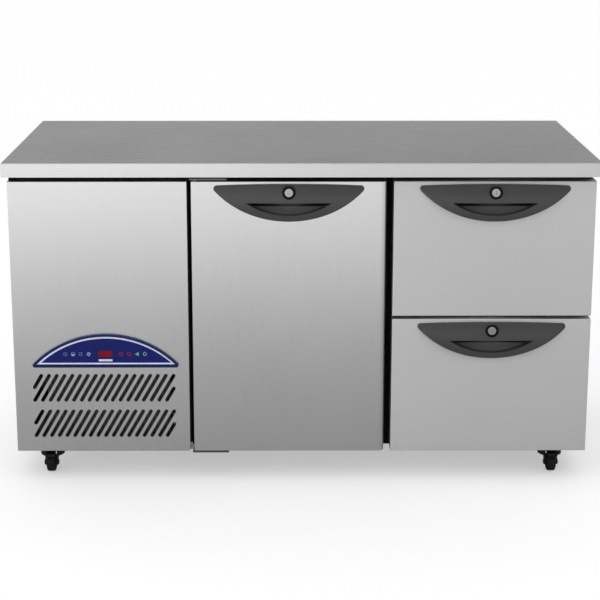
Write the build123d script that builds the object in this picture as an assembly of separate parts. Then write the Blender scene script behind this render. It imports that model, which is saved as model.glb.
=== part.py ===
from build123d import *
import math
import os

# Counter freezer: a hinged door, two drawers and a condensing-unit bay under one steel worktop.
# Millimetres. +Z is up, the front faces -Y, and the origin is on the floor under the worktop's middle.

# Worktop
worktop_width = 1553
worktop_depth = 700
worktop_edge = 36.5
worktop_sheet = 1.5
worktop_return = 18
worktop_corner = 2
worktop_side_overhang = 11.5
worktop_rear_overhang = 10
overall_height = 872
stiffener_count = 4
stiffener_width = 60
stiffener_height = 24

# Body sheets and insulation
sheet = 1.2
foam = 48
cove_radius = 6
side_flange = 20
bay_flange = 20

# Fronts, measured from the worktop's front edge and from the underside of the base
castor_height = 77.5
front_setback = 20
front_lift = 2.5
front_top_gap = 14.5
unit_panel_width = 465
unit_door_gap = 11
door_width = 510
door_drawer_gap = 18
drawer_gap = 9
upper_drawer_height = 363
leaf_thickness = 48
leaf_edge_radius = 2
door_edge_radius = 14
leaf_flange = 2
plug_inset = 54
plug_height = 6
plug_corner = 10

# Door and drawer gaskets
gasket_gap = 10
gasket_clearance = 0.4
gasket_inset = 8
gasket_width = 14
gasket_base = 2.5
gasket_neck_width = 5
gasket_neck = 3
dart_width = 3
dart_depth = 4
dart_clearance = 0.2

# Cold box
box_lap = 5
mullion_width = 64
rail_height = 60
mullion_depth = 50
mullion_round = 6
air_slot_width = 20
air_slot_length = 140
air_slot_pitch = 80
air_slot_count = 5

# Shelf and its racking
shelf_below_cowl = 71
shelf_front_gap = 90
shelf_rear_gap = 41
shelf_side_gap = 3
shelf_rod = 3
shelf_rod_edge = 1.2
shelf_strip = 6
shelf_wire = 1.6
shelf_wire_pitch = 30
shelf_corner = 20
upright_width = 16
upright_depth = 8
upright_above_shelf = 30
upright_inset = 32
runner_leg = 20
runner_overhang = 15

# Crescent handle
handle_half_chord = 205
handle_radius = 270
handle_bow = 4.4
handle_tip = 8
handle_top_gap = 7
handle_bulge = 17.5
handle_bulge_radius_across = 3200
handle_bulge_radius_down = 138
handle_edge_round = 2
pocket_width = 222
pocket_height = 34
pocket_drop = 55
pocket_depth = 20
pocket_round = 28
pocket_wall = 2.5
pocket_clearance = 0.3
grip_rise = 11
grip_inset = 12
grip_front = 8

# Lock
lock_drop = 27
lock_radius = 11.5
lock_stand_out = 19
lock_bezel = 1
boss_radius = 17.8
boss_base_radius = 19.8
boss_set_back = 1
keyway_width = 2
keyway_height = 9
keyway_depth = 6
cam_length = 22
cam_width = 12
cam_thickness = 2.5
cam_gap = 0.8
running_clearance = 0.05
loose_clearance = 0.5

# Control panel on the unit bay's front
bezel_right_gap = 26
bezel_bottom_height = 237.5
bezel_half_chord = 201.5
bezel_rise = 92
bezel_tip = 6
bezel_thickness = 8
bezel_rim = 5.5
bezel_dish = 1.2
bezel_round = 2.5
display_width = 36.7
display_height = 16.4
display_height_above = 38
display_set_back = 1
module_width = 96
module_height = 44
module_depth = 46
module_screen_depth = 6
module_corner = 3
fascia_clearance = 0.3

# Louvres in the unit bay's front
louvre_width = 10
louvre_pitch = 20.75
louvre_lean = 39.5
louvre_count = 17
louvre_left_gap = 52
louvre_row_height = 68
louvre_upper_row = 145
louvre_lower_row = 45

# Drawer boxes and telescopic slides
box_side_gap = 15
box_floor_gap = 9
box_height = 205
box_sheet = 1.5
box_rear_gap = 27.6
box_rim = 10
box_slot_count = 5
box_slot_width = 12
box_slot_length = 60
slide_height = 45
slide_metal = 1.5
slide_gap = 0.5
slide_rise = 62
slide_front_gap = 10
slide_outer_reach = 11.5
slide_middle_stand = 4
slide_middle_reach = 11

# Hinge brackets and pins
hinge_inset = 10
hinge_set_back = 14
hinge_plate = 4
hinge_plate_length = 97
hinge_plate_margin = 4
hinge_pin_radius = 4
hinge_pin_length = 14
hinge_pin_gap = 1
hinge_washer_radius = 9
hinge_washer_gap = 0.3
hinge_tail = 34
hinge_screw_radius = 5
hinge_screw_head = 1.8
hinge_screw_inset = 22

# Evaporator behind its cowl on the cold box's left wall
evaporator_depth = 140
evaporator_length = 400
evaporator_rear_gap = 40
evaporator_height = 262
evaporator_top_gap = 12
cowl_sheet = 1.2
cowl_round = 5
cowl_inlet_count = 4
cowl_inlet_width = 12
cowl_inlet_pitch = 21
cowl_inlet_length = 70
evaporator_coil_depth = 44
evaporator_coil_margin = 18
evaporator_fan_radius = 80
evaporator_fan_depth = 22
evaporator_fan_to_face = 18
fan_tip_gap = 4
fan_hub_radius = 20
fan_blade_root = 3
fan_blades = 5
fan_blade_thickness = 1.6
fan_blade_chord = 46
fan_blade_pitch = 28
guard_rings = 3
guard_wire = 1.6
guard_bar = 4
guard_stand = 6

# Fan motors
motor_width = 56
motor_length = 38
motor_corner = 8
motor_bell_radius = 20
motor_bell_length = 6
motor_shaft_radius = 3
motor_shaft_past_hub = 2
motor_bracket = 3
motor_bracket_width = 30
strap_overlap = 9
motor_to_fan = 6

# Finned coils
fin_pitch = 10
fin_thickness = 3
fin_reach = 8
coil_end_plate = 2
coil_bend_radius = 14
coil_tube_radius = 5
coil_bend_count = 3

# Condensing unit
tray_side_gap = 12
tray_front_gap = 12
tray_rear_gap = 16
tray_lip = 25
tray_sheet = 1.5
condenser_width = 330
condenser_height = 200
condenser_depth = 50
condenser_front_gap = 6
condenser_fan_radius = 88
condenser_fan_depth = 24
shroud_depth = 34
shroud_sheet = 1.5
shroud_ring = 10
compressor_radius = 84
compressor_height = 150
compressor_dome = 34
compressor_centre_back = 390
compressor_foot_span = 66
compressor_foot_radius = 11
compressor_foot_height = 14
compressor_plate = 3
compressor_plate_half = 82
compressor_nut_radius = 7
compressor_nut_height = 6
compressor_stud_radius = 3
compressor_stud_height = 12
terminal_width = 54
terminal_height = 60
terminal_depth = 20
port_radius = 7
port_length = 14
port_low = 38
port_high = 100
port_side = 28
suction_pipe_radius = 5
discharge_pipe_radius = 4
pipe_bend = 24
suction_bend = 12
pipe_wall_gap = 46
pipe_set_back = 72
pipe_rise = 72
suction_rise = 144
liquid_rise = 72
liquid_run = 120
drier_radius = 11
drier_length = 90
electrical_box_width = 60
electrical_box_depth = 160
electrical_box_height = 130
electrical_box_below_top = 315.5
electrical_box_rear_gap = 20
electrical_lid = 9
electrical_groove = 1.5
electrical_corner = 6

# Rear of the unit bay
rear_slot_rows = 11
rear_slot_pitch = 40
rear_slot_width = 10
rear_slot_length = 150
rear_slot_bottom = 190
rear_slot_middle_gap = 40
rear_screw_radius = 5
rear_screw_head = 2.5
rear_screw_inset = 12
rear_screw_rows = 3
gland_radius = 10
gland_neck_radius = 8
gland_dome_radius = 7.5
gland_dome_round = 1.75
gland_nut = 5
gland_dome = 3.5
gland_inner = 10
gland_bore_radius = 4.5
gland_level = 70
gland_side = 70

# Castors
castor_side_inset = 81
castor_front_inset = 27
castor_rear_inset = 46
castor_plate_width = 62
castor_plate_depth = 52
castor_plate_thickness = 3
castor_plate_corner = 5
castor_bolt_radius = 4.5
castor_bolt_head = 3
castor_bolt_inset = 6.5
raceway_radius = 22
raceway_height = 5
kingpin_radius = 5
kingpin_head_radius = 8
kingpin_head = 3
swivel_gap = 0.3
wheel_radius = 25
wheel_width = 24
wheel_tread_round = 6
wheel_recess = 4
wheel_rim = 6
wheel_hub_radius = 10
axle_radius = 4
axle_head_radius = 7
axle_head = 2.5
wheel_trail = 24
hood_radius = 32.5
hood_crown = 5
hood_skirt = 26
hood_wall = 3
fork_gap = 2
fork_leg = 3
fork_shoulder = 23
fork_foot_radius = 9
pedal_thickness = 4
pedal_width = 24
pedal_pivot_back = 14
pedal_pivot_drop = 6.5
pedal_pin_radius = 2
pedal_reach = 62
pedal_pad = 9
pedal_pad_rise = 5
pedal_over_wheel = 3

# Levels and faces that follow from the sizes above
worktop_front = -worktop_depth / 2
worktop_rear = worktop_depth / 2
body_left = -worktop_width / 2 + worktop_side_overhang
body_right = worktop_width / 2 - worktop_side_overhang
body_rear = worktop_rear - worktop_rear_overhang
base_z = castor_height
body_top = overall_height - worktop_edge
front_y = worktop_front + front_setback
leaf_back = front_y + leaf_thickness
frame_y = leaf_back + gasket_gap
front_bottom = base_z + front_lift
front_top = body_top - front_top_gap
unit_panel_right = body_left + unit_panel_width
door_left = unit_panel_right + unit_door_gap
door_right = door_left + door_width
drawer_left = door_right + door_drawer_gap
drawer_right = body_right
upper_bottom = front_top - upper_drawer_height
lower_top = upper_bottom - drawer_gap
panel_back = front_y + bay_flange

# Cold box: outer faces, then the foam's faces, then the liner's inner faces
box_left = door_left - box_lap
wall = sheet + foam + sheet
inner_left = box_left + wall
inner_right = body_right - wall
inner_bottom = base_z + wall
inner_top = body_top - wall
inner_rear = body_rear - wall
frame_back = frame_y + sheet
post_middle = (door_right + drawer_left) / 2
post_left = post_middle - mullion_width / 2
post_right = post_middle + mullion_width / 2
post_rear = frame_back + mullion_depth
rail_middle = (upper_bottom + lower_top) / 2
rail_bottom = rail_middle - rail_height / 2
rail_top = rail_middle + rail_height / 2

# Hinge pivot
pivot_x = door_left + hinge_inset
pivot_y = front_y + hinge_set_back

# Drawer box and slides
slide_front = frame_back + slide_front_gap
box_rear = inner_rear - box_rear_gap
box_left_side = post_right + box_side_gap
box_right_side = inner_right - box_side_gap

# Condensing-unit bay
bay_left = body_left + sheet
bay_floor = base_z + sheet
tray_floor = bay_floor + tray_sheet
tray_left = body_left + side_flange + tray_side_gap
tray_right = box_left - tray_side_gap
tray_front = panel_back + sheet + tray_front_gap
tray_rear = body_rear - 2 * sheet - tray_rear_gap
condenser_front = tray_front + tray_sheet + condenser_front_gap
condenser_x = (tray_left + tray_right) / 2
condenser_rear = condenser_front + condenser_depth
condenser_fan_z = tray_floor + condenser_height / 2
compressor_y = condenser_front + compressor_centre_back
compressor_base = tray_floor + compressor_foot_height

# Evaporator
cowl_left = inner_left
cowl_right = inner_left + evaporator_depth
cowl_rear = inner_rear - evaporator_rear_gap
cowl_front = cowl_rear - evaporator_length
cowl_top = inner_top - evaporator_top_gap
cowl_bottom = cowl_top - evaporator_height
evaporator_fan_y = (cowl_front + cowl_rear) / 2
evaporator_fan_z = (cowl_bottom + cowl_top) / 2

# Shelf
shelf_level = cowl_bottom - shelf_below_cowl
shelf_front = frame_back + shelf_front_gap
shelf_rear = inner_rear - shelf_rear_gap

# Castors, as (name, x, y of the swivel axis, braked)
castor_x = body_right - castor_side_inset
castor_front_y = frame_y + castor_front_inset
castor_rear_y = body_rear - castor_rear_inset
castors = [
    ("front_left", -castor_x, castor_front_y, True),
    ("front_right", castor_x, castor_front_y, True),
    ("rear_left", -castor_x, castor_rear_y, False),
    ("rear_right", castor_x, castor_rear_y, False),
]
crown_top = castor_height - castor_plate_thickness - raceway_height - swivel_gap
crown_bottom = crown_top - hood_crown
axle_z = wheel_radius
pedal_pivot_z = crown_bottom - pedal_pivot_drop


def block(x0, x1, y0, y1, z0, z1):
    """A box between two corners."""
    return Pos((x0 + x1) / 2, (y0 + y1) / 2, (z0 + z1) / 2) * Box(x1 - x0, y1 - y0, z1 - z0)


def rectangle(a0, a1, b0, b1):
    """A rectangle between two corners of a sketch."""
    return Pos((a0 + a1) / 2, (b0 + b1) / 2) * Rectangle(a1 - a0, b1 - b0)


def rounded(a0, a1, b0, b1, radius):
    """A rectangle with rounded corners between two corners of a sketch."""
    return Pos((a0 + a1) / 2, (b0 + b1) / 2) * RectangleRounded(a1 - a0, b1 - b0, radius)


def along_y(sketch, y0, y1):
    """A sketch of X and Z, made solid from y0 back to y1."""
    return extrude(Plane.XZ.offset(-y1) * sketch, amount=y1 - y0)


def along_x(sketch, x0, x1):
    """A sketch of Y and Z, made solid from x0 to x1."""
    return extrude(Plane.YZ.offset(x0) * sketch, amount=x1 - x0)


def along_z(sketch, z0, z1):
    """A sketch of X and Y, made solid from z0 up to z1."""
    return extrude(Plane.XY.offset(z0) * sketch, amount=z1 - z0)


def cylinder_z(x, y, radius, z0, z1):
    """An upright cylinder."""
    return Pos(x, y, (z0 + z1) / 2) * Cylinder(radius, z1 - z0)


def cylinder_y(x, z, radius, y0, y1):
    """A cylinder that runs from front to back."""
    return Pos(x, (y0 + y1) / 2, z) * Rot(90, 0, 0) * Cylinder(radius, y1 - y0)


def cylinder_x(y, z, radius, x0, x1):
    """A cylinder that runs from left to right."""
    return Pos((x0 + x1) / 2, y, z) * Rot(0, 90, 0) * Cylinder(radius, x1 - x0)


def slot_between(a, b, width):
    """A round-ended slot between two end centres of a sketch."""
    middle = ((a[0] + b[0]) / 2, (a[1] + b[1]) / 2)
    length = math.dist(a, b)
    turn = math.degrees(math.atan2(b[1] - a[1], b[0] - a[0]))
    return Pos(*middle) * Rot(0, 0, turn) * SlotCenterToCenter(length, width)


def group(shapes):
    """Separate solids that share one node."""
    solids = []
    for shape in shapes:
        solids.extend(shape.solids())
    return Compound(solids)


# Worktop


def worktop():
    """A steel tray, open below, with returned edges and stiffeners under its top."""
    left = -worktop_width / 2
    right = worktop_width / 2
    body = block(left, right, worktop_front, worktop_rear, body_top, overall_height)
    rim = body.faces().sort_by(Axis.Z)[-1].edges() + body.edges().filter_by(Axis.Z)
    body = fillet(rim, worktop_corner)
    s = worktop_sheet
    top_face = overall_height - s
    body -= block(left + s, right - s, worktop_front + s, worktop_rear - s, body_top + s, top_face)
    r = worktop_return
    body -= block(left + r, right - r, worktop_front + r, worktop_rear - r, body_top, body_top + s)
    for x in stiffener_places():
        body += stiffener(x)
    return body


def stiffener_places():
    """The middles of the channels under the worktop, evenly spaced across it."""
    pitch = worktop_width / stiffener_count
    return [-worktop_width / 2 + pitch * (k + 0.5) for k in range(stiffener_count)]


def stiffener(x):
    """One channel, from the front fold to the rear fold, with its open side on the worktop."""
    half = stiffener_width / 2
    front = worktop_front + worktop_sheet
    rear = worktop_rear - worktop_sheet
    top = overall_height - worktop_sheet
    floor = top - stiffener_height
    channel = block(x - half, x + half, front, rear, floor, top)
    inside = half - worktop_sheet
    return channel - block(x - inside, x + inside, front, rear, floor + worktop_sheet, top)


# Body sheets


def side_panels():
    """The right side of the cold box and the left side of the unit bay."""
    right = block(body_right - sheet, body_right, frame_back, body_rear, base_z, body_top)
    right += block(body_right - side_flange, body_right, frame_back, body_rear, base_z, bay_floor)
    left = block(body_left, bay_left, panel_back, body_rear, base_z, body_top)
    flange = body_left + side_flange
    left += block(body_left, flange, panel_back, body_rear - sheet, base_z, bay_floor)
    left += block(body_left, flange, panel_back, panel_back + sheet, base_z, body_top)
    rear = body_rear - sheet
    left += block(body_left, flange, rear - sheet, rear, base_z, body_top)
    return group([left, right])


def casing_wrap():
    """One folded sheet: the cold box's back, its top and its wall to the unit bay."""
    right = body_right - sheet
    back = block(box_left, right, body_rear - sheet, body_rear, bay_floor, body_top)
    top = block(box_left, right, frame_back, body_rear, body_top - sheet, body_top)
    left = block(box_left, box_left + sheet, frame_back, body_rear, bay_floor, body_top)
    return back + top + left


def base_pan():
    """The sheet under the whole body, brought forward and turned up under the unit bay's front."""
    left = body_left + side_flange
    right = body_right - side_flange
    rear = body_rear - 2 * sheet
    pan = block(left, right, frame_back, rear, base_z, bay_floor)
    pan += block(left, box_left, panel_back, frame_back, base_z, bay_floor)
    pan += block(left, box_left, panel_back, panel_back + sheet, base_z, base_z + bay_flange)
    return pan


def insulation():
    """Five foam slabs: floor, ceiling, left, right and back."""
    left = box_left + sheet
    right = body_right - sheet
    rear = body_rear - sheet
    floor_top = bay_floor + foam
    ceiling_bottom = body_top - sheet - foam
    floor = block(left, right, frame_back, rear, bay_floor, floor_top)
    ceiling = block(left, right, frame_back, rear, ceiling_bottom, body_top - sheet)
    left_slab = block(left, left + foam, frame_back, rear, floor_top, ceiling_bottom)
    right_slab = block(right - foam, right, frame_back, rear, floor_top, ceiling_bottom)
    back = block(left + foam, right - foam, rear - foam, rear, floor_top, ceiling_bottom)
    return group([floor, ceiling, left_slab, right_slab, back])


def liner():
    """The inner sheet box, open to the front, with coved edges."""
    shell = block(
        inner_left - sheet, inner_right + sheet, frame_back, inner_rear + sheet,
        inner_bottom - sheet, inner_top + sheet,
    )
    cavity = block(inner_left, inner_right, frame_back, inner_rear, inner_bottom, inner_top)
    cavity = fillet(cavity.edges().filter_by(Axis.Y), cove_radius)
    return shell - cavity


def front_frame():
    """The face sheet around the door's window and the two drawers' windows."""
    face = rectangle(box_left, body_right, base_z, body_top)
    face -= rounded(inner_left, post_left, inner_bottom, inner_top, cove_radius)
    face -= rounded(post_right, inner_right, rail_top, inner_top, cove_radius)
    face -= rounded(post_right, inner_right, inner_bottom, rail_bottom, cove_radius)
    return along_y(face, frame_y, frame_back)


def mullion():
    """The insulated post between door and drawers, and the rail between the drawers."""
    post = block(post_left, post_right, frame_back, post_rear, inner_bottom, inner_top)
    rear_edges = post.faces().sort_by(Axis.Y)[-1].edges().filter_by(Axis.Z)
    post = fillet(rear_edges, mullion_round)
    rail = block(post_right, inner_right, frame_back, post_rear, rail_bottom, rail_top)
    rear_edges = rail.faces().sort_by(Axis.Y)[-1].edges().filter_by(Axis.X)
    rail = fillet(rear_edges, mullion_round)
    return group([post, rail])


def drawer_partition():
    """A folded duct behind the post, open towards it, that carries the drawers' left slides."""
    duct = block(post_left, post_right, post_rear, inner_rear, inner_bottom, inner_top)
    duct -= block(
        post_left + sheet, post_right - sheet, post_rear, inner_rear - sheet,
        inner_bottom, inner_top,
    )
    middle = (post_rear + inner_rear) / 2
    first = middle - air_slot_pitch * (air_slot_count - 1) / 2
    reach = (air_slot_length - air_slot_width) / 2
    slots = Sketch()
    for level in ((rail_top + inner_top) / 2, (inner_bottom + rail_bottom) / 2):
        for k in range(air_slot_count):
            y = first + air_slot_pitch * k
            slots += slot_between((y, level - reach), (y, level + reach), air_slot_width)
    return duct - along_x(slots, post_left, post_right)


# Door and drawer leaves


def leaf_block(left, right, bottom, top, back, inset, right_radius):
    """A leaf's outline with rounded front edges, inset evenly from its sides and its face."""
    front = front_y + inset
    body = block(left + inset, right - inset, front, back, bottom + inset, top - inset)
    seam = right - inset
    if right_radius > inset:
        corner = body.edges().filter_by(Axis.Z).sort_by(lambda e: e.center().X - e.center().Y)[-1]
        body = fillet(corner, right_radius - inset)
        seam = right - right_radius
    if leaf_edge_radius > inset:
        rim = body.faces().sort_by(Axis.Y)[0].edges()
        rim = rim.filter_by(lambda e: e.center().X < seam - leaf_edge_radius)
        body = fillet(rim, leaf_edge_radius - inset)
    return body


def leaf_skin(left, right, bottom, top, right_radius):
    """The steel pan of a door or drawer front, cut out for the handle's pocket and the lock."""
    returns_end = leaf_back - leaf_flange
    pan = leaf_block(left, right, bottom, top, returns_end, 0, right_radius)
    pan -= leaf_block(left, right, bottom, top, returns_end, sheet, right_radius)
    middle = (left + right) / 2
    pan -= along_y(pocket_cut(middle, top), front_y, front_y + sheet)
    lock_hole = lock_radius + loose_clearance
    return pan - cylinder_y(middle, top - lock_drop, lock_hole, front_y, front_y + sheet)


def leaf_inner(left, right, bottom, top, right_radius, plug):
    """The foam-filled inner panel: it fills the pan, covers its edge and holds the gasket."""
    body = leaf_block(left, right, bottom, top, leaf_back - leaf_flange, sheet, right_radius)
    body += block(left, right, leaf_back - leaf_flange, leaf_back, bottom, top)
    if plug:
        raised = rounded(
            left + plug_inset, right - plug_inset, bottom + plug_inset, top - plug_inset,
            plug_corner,
        )
        body += along_y(raised, leaf_back, leaf_back + plug_height)
    groove = gasket_ring(left, right, bottom, top, dart_width + 2 * dart_clearance)
    body -= along_y(groove, leaf_back - dart_depth - dart_clearance, leaf_back)
    middle = (left + right) / 2
    pocket_end = front_y + pocket_depth + pocket_wall + pocket_clearance
    body -= along_y(pocket_cut(middle, top), front_y, pocket_end)
    lock_z = top - lock_drop
    cam_end = front_y + pocket_depth + pocket_wall + cam_gap + cam_thickness + loose_clearance
    body -= cylinder_y(middle, lock_z, lock_radius + loose_clearance, front_y, cam_end)
    sweep_radius = cam_length + loose_clearance
    return body - cylinder_y(middle, lock_z, sweep_radius, pocket_end - pocket_clearance, cam_end)


def gasket_ring(left, right, bottom, top, width):
    """A rectangular ring of a given width along the middle of the gasket's track."""
    track = gasket_inset + gasket_width / 2
    outer = track - width / 2
    inner = track + width / 2
    ring = rectangle(left + outer, right - outer, bottom + outer, top - outer)
    return ring - rectangle(left + inner, right - inner, bottom + inner, top - inner)


def leaf_gasket(left, right, bottom, top):
    """A push-in magnetic gasket: dart, base, neck and sealing bulb."""
    end = frame_y - gasket_clearance
    neck_start = leaf_back + gasket_base
    bulb_start = neck_start + gasket_neck
    base = gasket_ring(left, right, bottom, top, gasket_width)
    neck = gasket_ring(left, right, bottom, top, gasket_neck_width)
    bulb = gasket_ring(left, right, bottom, top, gasket_width)
    dart = gasket_ring(left, right, bottom, top, dart_width)
    body = along_y(base, leaf_back, neck_start)
    body += along_y(neck, neck_start, bulb_start)
    body += along_y(bulb, bulb_start, end)
    return body + along_y(dart, leaf_back - dart_depth, leaf_back)


# Handle and lock


def pocket_mouth(middle, top):
    """The finger pocket's outline: a straight upper edge over an arc."""
    edge = top - pocket_drop
    half = pocket_width / 2
    ends = [(middle - half, edge), (middle + half, edge)]
    arc = ThreePointArc(ends[0], (middle, edge - pocket_height), ends[1])
    return make_face([arc, Line(ends[1], ends[0])])


def pocket_scoop(middle, top, front, back):
    """The mouth's hollow: its floor curves from the lower lip round into the pocket's back."""
    half = pocket_width / 2
    radius = (half**2 + pocket_height**2) / (2 * pocket_height)
    edge = top - pocket_drop
    profile = rectangle(0, radius, 0, back - front)
    corner = profile.vertices().sort_by(lambda v: v.X + v.Y)[-1]
    profile = fillet(corner, pocket_round)
    disc = revolve(Plane.XZ * profile, axis=Axis.Z)
    hollow = Pos(middle, front, edge - pocket_height + radius) * Rot(-90, 0, 0) * disc
    return hollow & block(middle - half, middle + half, front, back, edge - pocket_height, edge)


def pocket_grip(middle, top):
    """The pocket with the room for fingertips behind the grip bar."""
    edge = top - pocket_drop
    half = pocket_width / 2 - grip_inset
    return pocket_mouth(middle, top) + rectangle(middle - half, middle + half, edge, edge + grip_rise)


def pocket_outer(middle, top, growth):
    """The pocket's housing, grown evenly from the grip's outline."""
    return offset(pocket_grip(middle, top), amount=growth, kind=Kind.ARC)


def pocket_cut(middle, top):
    """The cut-out that a leaf needs round the pocket's housing."""
    return pocket_outer(middle, top, pocket_wall + pocket_clearance)


def handle_outline(middle, top):
    """The crescent: a slightly bowed upper edge over a deep arc, with rounded tips."""
    tip_z = top - handle_top_gap - handle_bow
    sagitta = handle_radius - math.sqrt(handle_radius**2 - handle_half_chord**2)
    left = (middle - handle_half_chord, tip_z)
    right = (middle + handle_half_chord, tip_z)
    upper = ThreePointArc(left, (middle, tip_z + handle_bow), right)
    lower = ThreePointArc(left, (middle, tip_z - sagitta), right)
    crescent = make_face([upper, lower])
    return fillet(crescent.vertices(), handle_tip)


def handle(left, right, top):
    """A moulded crescent handle with a bulged face, an undercut finger pocket and a lock boss."""
    middle = (left + right) / 2
    sagitta = handle_radius - math.sqrt(handle_radius**2 - handle_half_chord**2)
    bulge_z = top - handle_top_gap - (handle_bow + sagitta) / 2
    nose = front_y - handle_bulge
    body = along_y(handle_outline(middle, top), nose - handle_bulge, front_y)
    across = handle_bulge_radius_across
    down = handle_bulge_radius_down
    body &= Pos(middle, nose + across, bulge_z) * Torus(across - down, down)
    body = fillet(body.faces().sort_by(Axis.Y)[0].edges(), handle_edge_round)
    lock_z = top - lock_drop
    body += lock_boss(middle, lock_z)
    pocket_end = front_y + pocket_depth
    housing = pocket_outer(middle, top, pocket_wall)
    body += along_y(housing, front_y, pocket_end + pocket_wall)
    body -= pocket_scoop(middle, top, nose, pocket_end)
    half = pocket_width / 2 - grip_inset
    edge = top - pocket_drop
    body -= block(middle - half, middle + half, front_y - grip_front, pocket_end, edge, edge + grip_rise)
    bore = lock_radius + running_clearance
    return body - cylinder_y(middle, lock_z, bore, nose - handle_bulge, pocket_end + pocket_wall)


def lock_boss(x, z):
    """The tapered boss round the lock."""
    front = front_y - lock_stand_out + boss_set_back
    length = front_y - front
    cone = Cone(boss_base_radius, boss_radius, length)
    return Pos(x, front_y - length / 2, z) * Rot(90, 0, 0) * cone


def lock(left, right, top):
    """A cam lock's barrel with its keyway, and its cam behind the pocket's housing."""
    x = (left + right) / 2
    z = top - lock_drop
    front = front_y - lock_stand_out
    cam_front = front_y + pocket_depth + pocket_wall + cam_gap
    cam_rear = cam_front + cam_thickness
    barrel = cylinder_y(x, z, lock_radius, front, cam_rear)
    face_edge = barrel.faces().sort_by(Axis.Y)[0].edges()
    barrel = chamfer(face_edge, lock_bezel)
    keyway = Pos(x, z) * Rectangle(keyway_width, keyway_height)
    barrel -= along_y(keyway, front, front + keyway_depth)
    tongue = rectangle(x - cam_width / 2, x + cam_width / 2, z, z + cam_length - cam_width / 2)
    tongue += Pos(x, z + cam_length - cam_width / 2) * Circle(cam_width / 2)
    return barrel + along_y(tongue, cam_front, cam_rear)


# Hinge


def hinge_brackets():
    """The upper and lower hinge plates with their pins and washers."""
    left = door_left - hinge_plate_margin
    right = left + hinge_plate_length
    plate_front = front_y + hinge_plate_margin
    z0 = front_top + front_lift
    z1 = z0 + hinge_plate
    upper = block(left, right, plate_front, frame_y, z0, z1)
    upper += block(left, right, frame_y - hinge_plate, frame_y, z0, body_top)
    flange_front = frame_y - hinge_plate
    for x in (left + hinge_screw_inset, right - hinge_screw_inset):
        screw_z = (z1 + body_top) / 2
        upper += cylinder_y(x, screw_z, hinge_screw_radius / 2, flange_front - hinge_screw_head, frame_y)
    upper += hinge_pin(front_top - hinge_pin_length, z0)
    upper += hinge_washer(front_top + hinge_washer_gap, z0)
    lower = block(left, right, plate_front, frame_y + hinge_tail, base_z - hinge_plate, base_z)
    screw_y = frame_y + hinge_tail / 2
    plate_bottom = base_z - hinge_plate
    for x in (left + hinge_screw_inset, right - hinge_screw_inset):
        lower += cylinder_z(x, screw_y, hinge_screw_radius, plate_bottom - hinge_screw_head, plate_bottom)
    lower += hinge_pin(base_z, front_bottom + hinge_pin_length)
    lower += hinge_washer(base_z, front_bottom - hinge_washer_gap)
    return group([upper, lower])


def hinge_pin(z0, z1):
    """A pin on the door's axis."""
    return cylinder_z(pivot_x, pivot_y, hinge_pin_radius, z0, z1)


def hinge_washer(z0, z1):
    """A washer that keeps the door off its plate."""
    return cylinder_z(pivot_x, pivot_y, hinge_washer_radius, z0, z1)


def hinge_bores(body, length):
    """A door piece with the bores for both hinge pins."""
    radius = hinge_pin_radius + running_clearance
    body -= cylinder_z(pivot_x, pivot_y, radius, front_top - length, front_top)
    return body - cylinder_z(pivot_x, pivot_y, radius, front_bottom, front_bottom + length)


# Drawer box and telescopic slides


def slide_level(bay_bottom):
    """The middle of a drawer's slides, above the floor of its bay."""
    return bay_bottom + box_floor_gap + slide_rise


def channel_y(x_web, x_open, z, height, y0, y1):
    """A channel that runs from front to back, with its web at one x and its mouth at another."""
    low = min(x_web, x_open)
    high = max(x_web, x_open)
    body = block(low, high, y0, y1, z - height / 2, z + height / 2)
    turn = 1 if x_open > x_web else -1
    inner = sorted((x_web + turn * slide_metal, x_open))
    half = height / 2 - slide_metal
    return body - block(inner[0], inner[1], y0, y1, z - half, z + half)


def slide_outer_members():
    """The four fixed channels, on the partition and on the liner's right wall."""
    members = []
    for bay_bottom in (inner_bottom, rail_top):
        z = slide_level(bay_bottom)
        for face, turn in ((post_right, 1), (inner_right, -1)):
            mouth = face + turn * slide_outer_reach
            members.append(channel_y(face, mouth, z, slide_height, slide_front, box_rear))
    return group(members)


def slide_middle(bay_bottom):
    """A drawer's two middle members, which run half as far as the drawer."""
    z = slide_level(bay_bottom)
    height = slide_height - 2 * (slide_metal + slide_gap)
    members = []
    for face, turn in ((post_right, 1), (inner_right, -1)):
        web = face + turn * slide_middle_stand
        mouth = web + turn * (slide_middle_reach - slide_middle_stand)
        members.append(channel_y(web, mouth, z, height, slide_front, box_rear))
    return group(members)


def slide_inner(bay_bottom):
    """The inner members, fixed to the drawer box's sides."""
    z = slide_level(bay_bottom)
    height = slide_height - 4 * (slide_metal + slide_gap)
    members = []
    for face, side, turn in ((post_right, box_left_side, 1), (inner_right, box_right_side, -1)):
        mouth = face + turn * (slide_middle_stand + slide_metal + slide_gap)
        members.append(channel_y(side, mouth, z, height, slide_front, box_rear))
    return members


def drawer_box(bay_bottom):
    """An open steel box with a turned-out rim, air slots and the slides' inner members."""
    bottom = bay_bottom + box_floor_gap
    top = bottom + box_height
    left = box_left_side
    right = box_right_side
    box = block(left, right, leaf_back, box_rear, bottom, top)
    t = box_sheet
    box -= block(left + t, right - t, leaf_back + t, box_rear - t, bottom + t, top)
    rim = rectangle(left - box_rim + t, right + box_rim - t, leaf_back, box_rear)
    rim -= rectangle(left + t, right - t, leaf_back + t, box_rear - t)
    box += along_z(rim, top - t, top)
    box -= box_slots(bottom, left, right)
    return group([box] + slide_inner(bay_bottom))


def box_slots(bottom, left, right):
    """Upright air slots through both sides of a drawer box, above its slides."""
    z0 = bottom + slide_rise + slide_height
    z1 = z0 + box_slot_length - box_slot_width
    pitch = (box_rear - leaf_back) / (box_slot_count + 1)
    slots = Sketch()
    for k in range(box_slot_count):
        y = leaf_back + pitch * (k + 1)
        slots += slot_between((y, z0), (y, z1), box_slot_width)
    return along_x(slots, left, right)


# Shelf


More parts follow.
